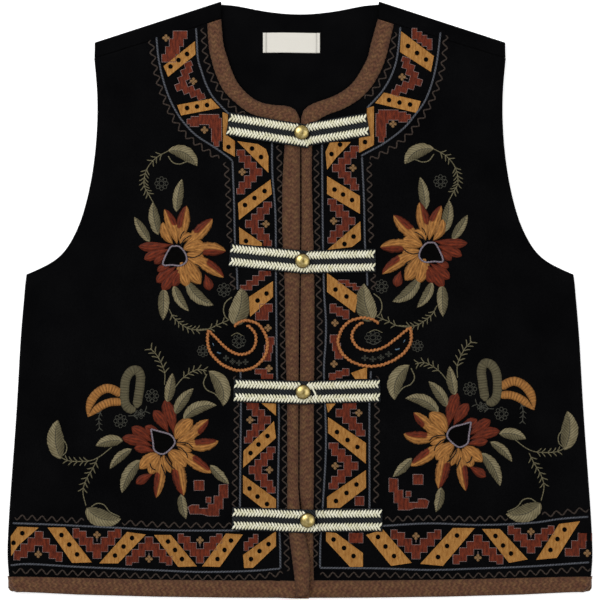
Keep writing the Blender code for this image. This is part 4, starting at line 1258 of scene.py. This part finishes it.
left.chevron(*over((327, 221)), (-1, 0), 28, 22)
left.stair(*over((340, 280), (362, 290)), 11, 3, level=False)
left.stair(*over((330, 307), (349, 316)), 9, 3)
left.flower(*over((335, 323)))
left.stair(*over((333, 335), (340, 359)), 8, 3, level=False)
left.stair(*over((329, 378), (349, 371)), 7, 3)
left.flower(*over((334, 364)))
left.chevron(*over((366, 413)), (1, 0), 30, 23)
left.chevron(*over((328, 466)), (-1, 0), 30, 23)
left.stair(*over((355, 501), (364, 501)), 9, 1)
left.stair(*over((349, 538), (363, 538)), 10, 2)
left.chevron(*over((416, 529)), (0, 1), 30, 25)
left.chevron(*over((478, 565)), (0, -1), 30, 25)
left.chevron(*over((531, 525)), (0, 1), 28, 23)
left.stair(*over((588, 533), (569, 556)), 14, 3, level=False)
left.flower(*over((587, 553)))
print("left border", left.satin("bar").shapes, "bars and stepped shapes")

# %% [markdown]
# ### Flowers
#
# Two flowers grow on each front, with khaki leaves round them and fine feathered sprigs. The petals are long satin
# shapes laid over each other: rust in the shade, and in the light ochre ones with a rust core, round a black heart
# edged in pale cord.

# %% Upper flower
RUST = plain(1)
UPPER_PETALS = (  # base, tip, width, bend, thread
    ((174, 244), (138.5, 246.5), 9.5, -1.5, RUST),
    ((171, 249), (144, 259.5), 9.5, 1, RUST),
    ((168, 254), (154.5, 264), 8, 1, RUST),
    ((172, 264), (157, 271), 8, 0, RUST),
    ((177, 266), (156.5, 282.5), 10, 0.5, RUST),
    ((185, 267), (173, 287), 9, 1, RUST),
    ((181, 267), (162.5, 291), 10, 1, RUST),
    ((205, 274), (209.5, 290.5), 9, -0.5, RUST),
    ((182, 258), (189, 287), 14, 2.5, plain(0)),
    ((186, 258), (201, 284), 15, 1.5, plain(0)),
    ((188, 256), (224, 277.5), 12.5, -2, cored(-1, 0.45)),
    ((186, 257), (205, 267), 9, -1, plain(0)),
    ((190, 249), (226, 251), 14, -1, cored(1, 0.35)),
    ((185, 255), (204, 257), 9, -1, plain(0)),
    ((186, 245), (212.5, 218.5), 13, 0.5, cored(-1, 0.4)),
    ((183, 250), (204, 244), 14, -1.5, plain(0)),
    ((180, 244), (193, 235), 8, -2.5, plain(0)),
    ((180, 243), (186.5, 205.5), 13, -0.5, cored(-1, 0.38)),
    ((177, 244), (164.5, 209), 11.5, 1.5, cored(1, 0.5)),
    ((173, 244), (163, 222), 10, -2.5, plain(0)),
)
LOWER_PETALS = (
    ((174, 436), (164.5, 400), 12.5, 1.5, RUST),
    ((169, 434), (153.5, 410.5), 11, 1, RUST),
    ((164, 433), (145, 426), 9.5, -2, RUST),
    ((154, 443), (131.5, 427), 11, 0.5, RUST),
    ((156, 452), (134, 448), 8.5, 1, RUST),
    ((154, 447), (122, 438), 10.5, 1.5, RUST),
    ((154, 473), (136, 484), 8.5, 0.5, RUST),
    ((160, 455), (150.5, 475), 13, 1, plain(0)),
    ((159, 453), (139.5, 469), 13, 1, plain(0)),
    ((162, 456), (156, 498), 11, -1, cored(1, 0.4)),
    ((163, 454), (171, 473), 8, 0.5, plain(0)),
    ((175, 452), (183.5, 496), 14, 0.5, cored(1, 0.38)),
    ((178, 450), (211.5, 473), 12.5, 0.5, cored(-1, 0.4, 0.92)),
    ((167, 450), (186, 467), 15, -1, plain(0)),
    ((184, 443), (218.5, 441), 13, 3, cored(-1, 0.3, 0.95)),
    ((176, 444), (192, 451), 7.5, 1, plain(0)),
    ((186, 440), (208.5, 419.5), 11, 0, cored(1, 0.45)),
    ((176, 444), (198, 431), 12, 0, plain(0)),
    ((175, 440), (193, 420), 16, -2, plain(0)),
)


def bloom(group, petals, heart, seams):
    """A flower: each petal lies a little higher than the one before, and the heart lies over them all."""
    for index, (base, tip, width, bend, tone) in enumerate(petals):
        wide = width * (1.15 if tone is RUST else 1.05)
        full = 0.66 if tone is RUST else 0.55
        group.petal(base, tip, wide, bend, tone, full, height=0.75 + 0.03 * index, blunt=0.2)
    for line in seams:
        group.cord("seam", line, 0.5, lift=1.1)
    group.patch("eyelet", heart, 0, height=1.35)
    group.cord("mauve", heart, 0.88, closed=True, lift=1.1)


UPPER_HEART = [
    (175, 246), (170, 248), (163, 264), (172, 265), (181, 265.5), (186.5, 261), (186, 255), (183, 250),
    (179, 246.5),
]
UPPER_SEAMS = (
    [(181, 247), (183, 241), (188, 237), (191.5, 235.5)],
    [(187, 256.5), (193, 257.5), (199, 255.5), (203, 252)],
    [(180, 239), (182, 234), (184.5, 231)],
    [(195, 264), (199, 266), (201, 269)],
)
LOWER_HEART = [
    (151, 429), (160, 431.5), (170, 434.5), (174.5, 440), (174, 445), (167, 452), (161.5, 454), (154.5, 450),
    (153, 441),
]
LOWER_SEAMS = (
    [(176, 442), (183, 442.5), (189, 444), (193, 448)],
    [(176, 446), (181, 448), (186, 453), (188, 458)],
    [(165, 456), (167, 461), (171, 466), (175, 469)],
    [(161, 464), (163.5, 470), (166, 476)],
    [(150, 463), (152, 468), (156, 470)],
)


def upper_flower(hand, move, heart_move):
    """The upper flower with its leaves, and the leaves above it."""
    top, heart = Group(hand, move), Group(hand, heart_move)
    heart.leaf((164, 288), (163, 320), 12, 0)
    heart.leaf((174, 285), (189, 311), 10, 2.5, lit=1)
    heart.leaf((187, 281), (213.5, 305), 13, 4.5, lit=1)
    heart.sprig([(169, 309), (175, 319), (190, 329), (208, 329)], [(0.15, 0.75, 7, 6)])
    bloom(heart, UPPER_PETALS, UPPER_HEART, UPPER_SEAMS)
    top.leaf((167.5, 151), (197, 166), 15, -6, full=0.5)
    top.cord("stem", [(168, 156), (173, 162.5), (180, 164), (188, 161.5), (195, 165)], 0.6)
    top.leaf((176.5, 212), (182, 179), 11, -1)
    top.leaf((158.5, 235), (153, 202), 12, -1.5)
    top.leaf((150, 242), (134.5, 217), 10, -0.5)
    stem = [(168, 151), (156, 158), (147, 169), (144, 184), (149, 195), (153.5, 203)]
    top.sprig(stem, [(0.12, 0.28, 3, 6.5), (0.45, 0.82, 7, 6.5)])
    top.rosette((161.5, 183.5), 7)


upper_flower("right", (0, 0), (0, 0))
upper_flower("left", (-2, -2), (-6, -3.5))
print("petals", right.satin("flower").shapes, "leaves", right.satin("leaf").shapes)


# %% Leaf and paisley on the border
PAISLEY_OUTER = [
    (208.6, 330), (207.5, 342), (211, 353), (219, 362), (230, 368.5), (242, 370.5), (254, 367),
    (263, 359), (267.5, 347), (265.5, 335), (259, 325), (248, 320.5), (240, 322), (234, 326),
]
PAISLEY_INNER = [
    (209, 330.5), (216, 338), (223, 345), (231, 351.5), (241, 354.5), (250, 352), (255.5, 344), (255.5, 335),
    (251, 328), (247, 325),
]


def scalloped(path, amplitude=0.5, pitch=3.4):
    """A lace edge: the path waves a little to and fro."""
    return zigzag(path, pitch, amplitude)


def paisley(hand, move, size, wheel):
    """The leaf and the orange paisley that grow over the front edge's border."""
    leafy = Group(hand, move)
    leafy.leaf((233.5, 324.5), (241.5, 287), 20.5, 3, full=0.36, lit=-1, blunt=0.35)
    leafy.cord("stem", [(232, 297), (225.5, 302.5), (223.5, 310), (225.5, 317), (229, 320)], 0.6)
    leafy.rosette((224, 290), 7)
    leafy.rosette(wheel, 6)
    leafy.sprig([(196, 331), (209, 329), (217, 325), (229, 320)], [(0.4, 0.8, 3, 6)])
    curl = Group(hand, move, centre=(268, 347), size=size)
    for line, radius in ((PAISLEY_OUTER, 1.3), (PAISLEY_INNER, 1.2)):
        curl.cord("orange", scalloped(line), radius, twist=3.0, smooth=False)
        curl.cord("orange", line, radius * 0.7, twist=3.0, lift=0.5)
    curl.rosette((239, 341), 7)
    curl.cord("stem", [(231, 336), (237, 333), (243, 336)], 0.4)
    curl.cord("faint", [(232, 344), (238, 348), (244, 345)], 0.45)
    for x, y in ((226, 358), (232.5, 361.5), (239, 363), (245.5, 362)):
        curl.rosette((x, y), 2.8, "faint", 4)
    curl.cord("sky", [(217, 352), (219, 353.2), (221, 353)], 0.7)
    curl.cord("sky", [(212.5, 343), (214, 346)], 0.5)


paisley("right", (0, 0), (1.0, 1.0), (203, 351))
paisley("left", (-5.5, -3.5), (1.22, 0.97), (188, 349.5))
print("orange cord", len(cords["right", "orange"].points), "points")


# %% Lower flower
LOOP = [
    (136, 410), (129, 408.5), (125, 402), (124.5, 390), (126, 379), (131, 371.5),
    (137.5, 370.5), (140.5, 377), (139.5, 389), (138, 399), (136.5, 408),
]
UPPER_TENDRIL = [(122, 394.5), (113, 389.5), (106, 388.5), (98, 392.5), (92, 399.5), (88.8, 408), (88, 417)]
LOWER_TENDRIL = [(122, 402), (112, 402), (104, 404.5), (97, 409), (88, 417)]


def lower_flower(hand, move):
    """The lower flower with its leaves, its olive loop and its two ochre tendrils."""
    group = Group(hand, move)
    group.leaf((167, 403), (172.5, 373), 11, 0.5)
    group.leaf((174.5, 415), (193.5, 388.5), 11.5, -2)
    group.leaf((183.5, 420), (216.5, 405.5), 13, -5.5)
    group.leaf((123, 441), (96, 446), 12.5, 2.5, lit=1)
    group.leaf((132, 449), (110, 469), 9.5, 2.5, lit=1)
    group.leaf((141, 460), (122, 493), 13, 3.5, lit=1)
    group.leaf((210, 465), (229, 484), 9.5, 0.5)
    group.leaf((181, 494), (186, 519), 10, 1)
    group.band("loop", LOOP, 9.8, plain(0.35))
    group.band("flower", UPPER_TENDRIL, 9.6, plain(0.3), 0.8, 0.3)
    group.band("flower", LOWER_TENDRIL, 8.6, plain(0.3), 0.8, 0.3)
    bloom(group, LOWER_PETALS, LOWER_HEART, LOWER_SEAMS)
    group.sprig([(164.5, 385), (164.5, 372), (158, 357), (150, 348)], [(0.3, 0.95, 6, 7)])
    group.sprig([(173, 390), (183, 378), (196, 370), (207, 371)], [(0.4, 0.9, 5, 6.5)])
    group.rosette((152, 396), 7)
    group.rosette((120.5, 421), 7)
    group.sprig([(128, 416), (137, 415), (146, 411)], [(0.3, 0.95, 3, 6)], "faint")
    group.rosette((140, 414), 5, "faint", 5)
    group.sprig([(102, 409), (99, 417), (99.5, 429)], [(0.2, 0.95, 4, 4.5)], "faint")


lower_flower("right", (0, 0))
lower_flower("left", (-22, -7))
print("petals", right.satin("flower").shapes, "leaves", right.satin("leaf").shapes)


# %% Outer leaves and the stepped corner motif
CORNER_STEPS = [
    (188, 507), (192, 505), (199, 505), (199, 508.5), (208, 508.5), (208, 504), (214, 504), (214, 496), (219, 496),
    (219, 485), (228, 484), (228, 498), (223, 498), (223, 509), (219, 509), (219, 516), (208, 516), (202, 514),
    (190, 514),
]


def outer_leaves(hand, crescent_move, far_move, foot_move, corner_move):
    """Three curved leaves with their sprigs, and the stepped motif in the lower corner."""
    near = Group(hand, crescent_move)
    near.leaf((208.5, 371), (223, 406), 17, -6.5, full=0.5, lit=-1)
    near.cord("stem", [(207, 374), (203.5, 383), (207, 390), (215, 394), (221, 401)], 0.6)
    far = Group(hand, far_move)
    far.leaf((61, 459), (58, 420), 18, -4, full=0.45, lit=-1)
    far.cord("stem", [(59, 424), (61.5, 436), (66.5, 445), (66, 452), (62, 456)], 0.6)
    far.sprig([(112, 447), (99, 457), (88, 461), (70, 461), (60, 457)], [(0.5, 0.85, 5, 6)])
    foot = Group(hand, foot_move)
    foot.sprig([(98, 458), (93, 468), (86, 480), (83, 492), (86, 506)], [(0.1, 0.65, 6, 6.5)])
    foot.leaf((86.5, 508), (121, 519), 19, 5.5, full=0.42, lit=1)
    foot.cord("stem", [(91, 507), (97, 503.5), (104, 505), (110, 512), (120, 517)], 0.6)
    corner = Group(hand, corner_move)
    corner.stepped(CORNER_STEPS)
    corner.stair((194, 485.5), (204, 485.5), 10, 1)
    corner.stair((206, 500), (211, 500), 5.5, 1)


outer_leaves("right", (0, 0), (0, 0), (0, 0), (0, 0))
outer_leaves("left", (-18, -6), (-25, -9), (-27, -5), (-17, -6))
print("leaves", right.satin("leaf").shapes)

# %% Sew it on
embroidery = []
for (hand, family), made in sorted(satins.items()):
    piece = made.sew(f"satin_{family}_{hand}", SATINS[family])
    embroidery.append(piece)
    print(piece.name, made.shapes, "shapes,", len(piece.data.polygons), "faces")
for (hand, thread), made in sorted(cords.items()):
    piece = made.sew(f"cord_{thread}_{hand}", CORDS[thread])
    embroidery.append(piece)
    print(piece.name, len(piece.data.polygons), "faces")

# %% [markdown]
# ## Frog closures
#
# A frog is a black band with two cream plaits along it. A flat plait of soft cord shows one row of slanted strands
# on each side of its middle, like an ear of wheat. One strand is modelled, and a copy is laid about every 2.75 mm.
# The end of the third frog's loop shows beside its button, as a thin twisted cord.


# %% Frog halves
def frog_lines(number):
    """The two halves of a frog, each as rows of (x, height of the band's foot) from its outer end."""
    right_out, _, left_out, _, _, climb, _ = FROGS[number]
    loop = [(-right_out, ON_PANEL)]
    if number == 3:  # the lowest loop crosses the lap
        on_lap = ON_BRAID + LAP_LIFT
        loop += [(-27.5, ON_PANEL), (-18.0, ON_PANEL + 3.4), (-12.8, on_lap), (14.0, on_lap)]
    else:
        loop += [(-climb - 6, ON_PANEL), (-climb, ON_BRAID), (-15.0, ON_BRAID), (-8.0, OVER_TONGUE), (7.5, OVER_TONGUE)]
    tip = loop[-1][0]
    tab = [(left_out, ON_PANEL), (24.0, ON_PANEL), (18.0, ON_BRAID), (tip + 0.9, ON_BRAID)]
    return loop, tab


class Band:
    """One half of a frog, as a frame along its length."""

    def __init__(self, number, hand):
        right_out, right_down, left_out, left_down, middle_down, _, button_x = FROGS[number]
        loop, tab = frog_lines(number)
        if hand == "right":
            self.rows, self.outer = loop, np.array([-right_out, SHOULDER_Y - right_down])
        else:
            self.rows, self.outer = tab, np.array([left_out, SHOULDER_Y - left_down])
        inner = np.array([button_x, SHOULDER_Y - middle_down])
        self.along = (inner - self.outer) / np.linalg.norm(inner - self.outer)
        self.length = (self.rows[-1][0] - self.outer[0]) / self.along[0]
        self.heights = sorted(self.rows)

    def frame(self, distance):
        """Centre, direction across and height of the band's foot, at a distance from its outer end."""
        centre = self.outer + self.along * distance
        square = np.array([-self.along[1], self.along[0]])
        upright = np.array([0.0, 1.0 if self.along[0] > 0 else -1.0])
        t = min(max((40.0 - abs(centre[0])) / 25.0, 0.0), 1.0)  # near the middle the band turns square to the edge
        t = t * t * (3 - 2 * t)
        across = square * (1 - t) + upright * t
        foot = np.interp(centre[0], [r[0] for r in self.heights], [r[1] for r in self.heights])
        return centre, across, foot


print("lengths", [round(Band(number, hand).length, 1) for number in range(4) for hand in ("right", "left")])

# %% [markdown]
# The band is cotton twill, whose ribs are 0.6 mm and are drawn 2 mm apart. The plaits are cotton cord, a little
# soiled in patches of about 4 mm, and their fibres are drawn at 0.7 mm. Where one strand dips under the next, its
# colour is darkened with painted shade, as shade falls in a thick plait.

# %% Band and plait materials
twill, tree = new_material("black_cotton_twill_band")
place = node(tree, "ShaderNodeUVMap", uv_map="weave")
rib = node(
    tree,
    "ShaderNodeTexWave",
    {"Vector": place.outputs["UV"]},
    bands_direction="DIAGONAL",
    Scale=0.22,
    Distortion=0.6,
)
tone = two_tones(tree, rib.outputs["Fac"], "#0b0c0d", "#24272a", low=0.0, high=1.0)
surface(tree, tone, rib.outputs["Fac"], strength=0.6, distance=0.0003, Roughness=0.85, Specular_IOR_Level=0.15)

cream, tree = new_material("cream_cotton_cord")
place = node(tree, "ShaderNodeTexCoord")
soil = node(tree, "ShaderNodeTexNoise", {"Vector": place.outputs["Object"]}, Scale=260.0, Detail=3.0)
fibre = node(tree, "ShaderNodeTexNoise", {"Vector": place.outputs["Object"]}, Scale=1500.0, Detail=2.0)
tone = two_tones(tree, soil.outputs["Fac"], "#d3cfac", "#efecd6", low=0.3, high=0.65)
shaded = shade_hollows(tree, tone, low=0.05, high=0.8, dark=0.48, light=0.97)
surface(tree, shaded, fibre.outputs["Fac"], strength=0.3, distance=0.0002, Roughness=0.7, Specular_IOR_Level=0.3)
print(twill.name, cream.name)

# %% Bands and plaits
bpy.ops.mesh.primitive_uv_sphere_add(segments=7, ring_count=8, radius=1)
strand_form = bpy.context.object
for vertex in strand_form.data.vertices:  # a sphere drawn out to pointed ends
    vertex.co.x *= 1 - 0.3 * abs(vertex.co.z)
    vertex.co.y *= 1 - 0.3 * abs(vertex.co.z)
strand_points = np.array([v.co for v in strand_form.data.vertices])
strand_faces = [list(p.vertices) for p in strand_form.data.polygons]
bpy.data.objects.remove(strand_form)


BAND_PROFILE = [  # a share of the half width and of the thickness
    (-1.0, 0.0), (-1.0, 0.75), (-0.93, 1.0), (-0.5, 1.0), (0.0, 0.95), (0.5, 1.0), (0.93, 1.0), (1.0, 0.75), (1.0, 0.0),
]
BAND_EXTRA = 1.2  # mm of band past the outer ends of its plaits
STRAND_WIDE, STRAND_HIGH = 1.16, 0.9  # mm, half the width and height of a strand


def band_body(name, band):
    """The black band of one half of a frog."""
    rings, uvs = [], []
    distances = np.append(np.arange(-BAND_EXTRA, band.length + 0.01, 1.5), band.length)
    for d in distances:
        centre, across, foot = band.frame(d)
        rings.append([(*(centre + across * v * BAND_HALF), foot + h * BAND_THICK) for v, h in BAND_PROFILE])
        uvs.append([(v * BAND_HALF, d) for v, _ in BAND_PROFILE])
    return loft(name, rings, uvs, twill)


def plait(points, faces, shades, band, offset, start, end, seed):
    """Lays strands along one plait: each leans from the middle of the plait to its edge."""
    count = round((end - start) / STRAND_PITCH)
    pitch = (end - start) / count
    for k in range(count + 1):
        for sign in (-1, 1):
            jitter = noise.noise(Vector((k * 1.7, sign * 3.1, seed))) * 0.5
            d = start + (k + (0.25 if sign > 0 else -0.25)) * pitch
            centre, across, foot = band.frame(d)
            along = np.array([band.along[0], band.along[1], 0.0])
            top = foot + BAND_THICK
            reach = sign * (PLAIT_HALF + 0.5 + jitter)
            inner = np.array([*(centre + across * (offset - sign * 0.5)), top + 1.1]) + along * 1.25
            outer = np.array([*(centre + across * (offset + reach)), top + 0.4]) - along * 1.05
            if k == 0:  # the first strands fray
                outer = outer - along * (0.4 + 1.6 * abs(jitter))
            axis = outer - inner
            half_length = np.linalg.norm(axis) / 2 + 0.55
            axis = axis / np.linalg.norm(axis)
            up = np.array([0.0, 0.0, 1.0])
            wide = np.cross(up, axis)
            wide /= np.linalg.norm(wide)
            high = np.cross(axis, wide)
            middle = (inner + outer) / 2
            first = len(points)
            for p in strand_points:
                shaped = middle + axis * p[2] * half_length + wide * p[0] * STRAND_WIDE + high * p[1] * STRAND_HIGH
                points.append(tuple(shaped))
                # painted shade: each strand darker on its underside and towards its ends, where it dips under the next
                shades.append(min(max(0.28 + 0.95 * p[1] - 0.25 * abs(p[2]) ** 3, 0.0), 1.0))
            faces.extend([[first + i for i in f] for f in strand_faces])


def loose_cord(points, faces, shades, line, top):
    """Lays short strands one after the other along a line of chart points, as a thin twisted cord."""
    knots = [Vector((*chart(x, y), 0.0)) for x, y in line]
    for start, end in zip(knots, knots[1:]):
        lean = (end - start).normalized()
        square = Vector((-lean.y, lean.x, 0.0))
        count = max(round((end - start).length / 1.1), 1)
        for k in range(count):
            middle = start.lerp(end, (k + 0.5) / count) + Vector((0, 0, top + 0.7))
            axis = (lean + square * 0.45).normalized()
            wide = Vector((-axis.y, axis.x, 0.0))
            first = len(points)
            for p in strand_points:
                points.append(tuple(middle + axis * (p[2] * 1.5) + wide * (p[0] * 0.8) + Vector((0, 0, p[1] * 0.7))))
                # painted shade: each strand darker on its underside
                shades.append(min(max(0.28 + 0.95 * p[1], 0.0), 1.0))
            faces.extend([[first + i for i in f] for f in strand_faces])


LOOP_ENDS = {2: [(307.2, 383.6), (310.2, 385.8), (313, 389.3), (315, 393), (316.2, 396.4)]}  # by the frog's index
frogs = []
for number in range(4):
    button_x = FROGS[number][6]
    for hand, kind in (("right", "loop"), ("left", "tab")):
        band = Band(number, hand)
        body = band_body(f"band_{kind}_{number + 1}", band)
        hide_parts(f"frog_{kind}_{number + 1}")
        points, faces, shades = [], [], []
        for row, offset in enumerate((PLAIT_MIDDLE, -PLAIT_MIDDLE)):
            upper = (offset > 0) == (hand == "right")
            to_button = abs((button_x - band.outer[0]) / band.along[0])
            end = to_button - 4.0 if upper else band.length  # the upper plait stops short of the button
            plait(points, faces, shades, band, offset, 1.6, end, number * 7 + row + (3 if hand == "left" else 0))
        if hand == "left" and number in LOOP_ENDS:
            loose_cord(points, faces, shades, LOOP_ENDS[number], band.frame(band.length - 4)[2] + BAND_THICK)
        cream_piece = new_piece(f"plait_{kind}_{number + 1}", points, faces, cream)
        give_relief(cream_piece, shades)
        frogs += [body, cream_piece]
print("frog pieces", len(frogs))

# %% [markdown]
# ## Buttons
#
# The buttons are domes pressed from brass sheet, on a shank that comes up through the loop. A dome is a sphere's cap
# with its rim turned under. Handling wears it unevenly, in patches of about 2 mm. Dark reflections are painted into
# its colour: toward the rim, of the black velvet, and in a slot near the top, of the dark room above.

# %% Brass
brass, tree = new_material("polished_brass")
place = node(tree, "ShaderNodeTexCoord")
worn = node(tree, "ShaderNodeTexNoise", {"Vector": place.outputs["Object"]}, Scale=420.0, Detail=4.0)
tone = two_tones(tree, worn.outputs["Fac"], "#a8924c", "#d2bd84", low=0.3, high=0.65)
# painted dark reflections, from the relief attribute, darken the brass toward the rim and in a slot near the top
painted_reflection = node(tree, "ShaderNodeAttribute", attribute_name="relief")
tone = node(tree, "ShaderNodeVectorMath", {0: tone, "Scale": painted_reflection.outputs["Fac"]}, operation="SCALE")
rough = node(tree, "ShaderNodeMapRange", {"Value": worn.outputs["Fac"]}, To_Min=0.26, To_Max=0.4)
shader = node(
    tree,
    "ShaderNodeBsdfPrincipled",
    {"Base Color": tone.outputs[0], "Roughness": rough.outputs[0]},
    Metallic=1.0,
)
node(tree, "ShaderNodeOutputMaterial", {"Surface": shader.outputs[0]})
print(brass.name)

# %% Buttons
DOME_RADIUS = 6.7
DOME_RISE = 4.2
DOME_CUT = 0.12  # how far under its middle a sphere of radius 1 is cut, for the turned rim
SHANK_RADIUS = 1.5
SHANK_INSIDE = 0.0004  # metres that the shank reaches into the dome


def brightness(across, along):
    """How bright the brass is at a point of a dome of radius 1: dark reflections are painted at the rim and in a slot
    near the top.
    """
    # rim and dent are painted dark reflections: of the black velvet toward the edge, and of the room above in a slot
    # near the top; the dome itself is a smooth cap
    rim = min(max((math.hypot(across, along) - 0.62) / 0.38, 0.0), 1.0)
    dent = math.exp(-(((across - 0.16) / 0.13) ** 2) - ((along + 0.06) / 0.36) ** 2)
    return (1 - 0.72 * rim * rim) * (1 - 0.5 * dent)


buttons = []
for number in range(4):
    node_name = f"button_{number + 1}"
    low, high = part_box(node_name)
    centre_x, centre_y = (low.x + high.x) / 2, (low.y + high.y) / 2
    bpy.ops.mesh.primitive_uv_sphere_add(segments=56, ring_count=40, radius=1.0, location=(0, 0, 0))
    made = bpy.context.object
    made.name = f"brass_dome_{number + 1}"
    bpy.ops.object.mode_set(mode="EDIT")
    bpy.ops.mesh.select_all(action="SELECT")
    bpy.ops.mesh.bisect(plane_co=(0, 0, -DOME_CUT), plane_no=(0, 0, 1), use_fill=True, clear_inner=True)
    bpy.ops.object.mode_set(mode="OBJECT")
    base = high.z / MM - DOME_RISE
    for vertex in made.data.vertices:
        x, y, z = vertex.co
        z = max(z, -DOME_CUT)
        height = (z + DOME_CUT) / (1 + DOME_CUT) * DOME_RISE
        vertex.co = ((x * DOME_RADIUS) * MM + centre_x, (y * DOME_RADIUS) * MM + centre_y, (base + height) * MM)
    shank_depth = (base * MM - low.z) + SHANK_INSIDE
    bpy.ops.mesh.primitive_cylinder_add(
        vertices=16, radius=SHANK_RADIUS * MM, depth=shank_depth, location=(centre_x, centre_y, low.z + shank_depth / 2)
    )
    shank = bpy.context.object
    bpy.ops.object.transform_apply(location=True, rotation=True, scale=True)
    bpy.ops.object.select_all(action="DESELECT")
    shank.select_set(True)
    made.select_set(True)
    bpy.context.view_layer.objects.active = made
    bpy.ops.object.join()
    bpy.ops.object.shade_smooth_by_angle(angle=math.radians(40))
    bpy.ops.object.select_all(action="DESELECT")
    size = DOME_RADIUS * MM
    places = [((v.co.x - centre_x) / size, (v.co.y - centre_y) / size) for v in made.data.vertices]
    # the relief attribute here holds the painted reflections
    give_relief(made, [brightness(*place) for place in places])
    made.data.materials.append(brass)
    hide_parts(node_name)
    buttons.append(made)
print("buttons", len(buttons))

# %% [markdown]
# ## Label
#
# A label is a short piece of woven tape with its ends folded under, held by a line of stitches near each end. Its
# place is inside the back neck. The tape's threads are 0.3 mm, and are drawn at 0.95 mm.

# %% Label
tape, tree = new_material("white_woven_tape")
place = node(tree, "ShaderNodeTexCoord")
warp, weft = (
    node(
        tree,
        "ShaderNodeTexWave",
        {"Vector": place.outputs["Object"]},
        bands_direction=direction,
        Scale=330.0,
        Distortion=0.4,
    )
    for direction in "XY"
)
woven = node(tree, "ShaderNodeMath", {0: warp.outputs["Fac"], 1: weft.outputs["Fac"]}, operation="MULTIPLY")
tone = two_tones(tree, woven.outputs[0], "#d0ccc2", "#e8e5dd", low=0.0, high=1.0)
# the relief attribute darkens the tape along its lines of stitches: painted shade of their dents
raised = node(tree, "ShaderNodeAttribute", attribute_name="relief")
shaded_at_stitch_lines = node(tree, "ShaderNodeVectorMath", {0: tone, "Scale": raised.outputs["Fac"]}, operation="SCALE")
shine = {"Roughness": 0.6, "Specular_IOR_Level": 0.3}
surface(tree, shaded_at_stitch_lines.outputs[0], woven.outputs[0], strength=0.25, distance=0.0002, **shine)

LABEL_FOLD = 2.6  # mm that is folded under at each end
LABEL_STITCHES = 3.0  # mm from each end to the stitches
low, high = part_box("label")
width, height = (high.x - low.x) / MM, (high.y - low.y) / MM
columns, rows = 52, 18
rings, uvs, shades = [], [], []
for i in range(columns + 1):
    u = i / columns
    x = low.x / MM + u * width
    from_end = min(u, 1 - u) * width
    fold = 0.54 if from_end < LABEL_FOLD else 0.0
    dent = -0.5 * math.exp(-(((from_end - LABEL_STITCHES) / 0.6) ** 2))
    top_line = []
    for j in range(rows + 1):
        v = j / rows
        y = low.y / MM + v * height
        wave = 0.16 * noise.noise(Vector((x / 14.0, y / 9.0, 4.0)))
        rise = 0.45 + fold + dent + wave
        top_line.append((x, y + 0.2 * math.sin(u * 5.0), low.z / MM + max(rise, 0.2)))
    under = [(*end[:2], low.z / MM) for end in (top_line[0], top_line[-1])]
    rings.append([under[0], *top_line, under[1]])
    uvs.append([(x, 0)] + [(x, j) for j in range(rows + 1)] + [(x, rows)])
    # painted shade along each line of stitches
    shades.append([1.0 - 0.4 * math.exp(-(((from_end - LABEL_STITCHES) / 0.7) ** 2))] * (rows + 3))
label = loft("woven_label", rings, uvs, tape, shades)
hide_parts("label")
print(label.name, len(label.data.polygons), "faces")

# %% [markdown]
#
# Every piece rides on the vest's one body. The velvet panels are sheets of cloth: half the area of each shell is
# printed as its flat size, what it was cut to before it was sewn and folded.

# %% Ride
for made, node_name in ((velvet_right, "front_right"), (velvet_left, "front_left"), (velvet_back, "back")):
    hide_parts(node_name)
for made in (velvet_right, velvet_left, velvet_back, *embroidery, *braids.values(), *frogs, *buttons, label):
    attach(made, "root")


def sheet_area(made):
    """Half the area of a closed shell of cloth, in square metres."""
    return sum(p.area for p in made.data.polygons) / 2


for made in (velvet_right, velvet_left, velvet_back):
    print(made.name, "area", round(sheet_area(made), 4))

# %% Update the scene
bpy.context.view_layer.update()
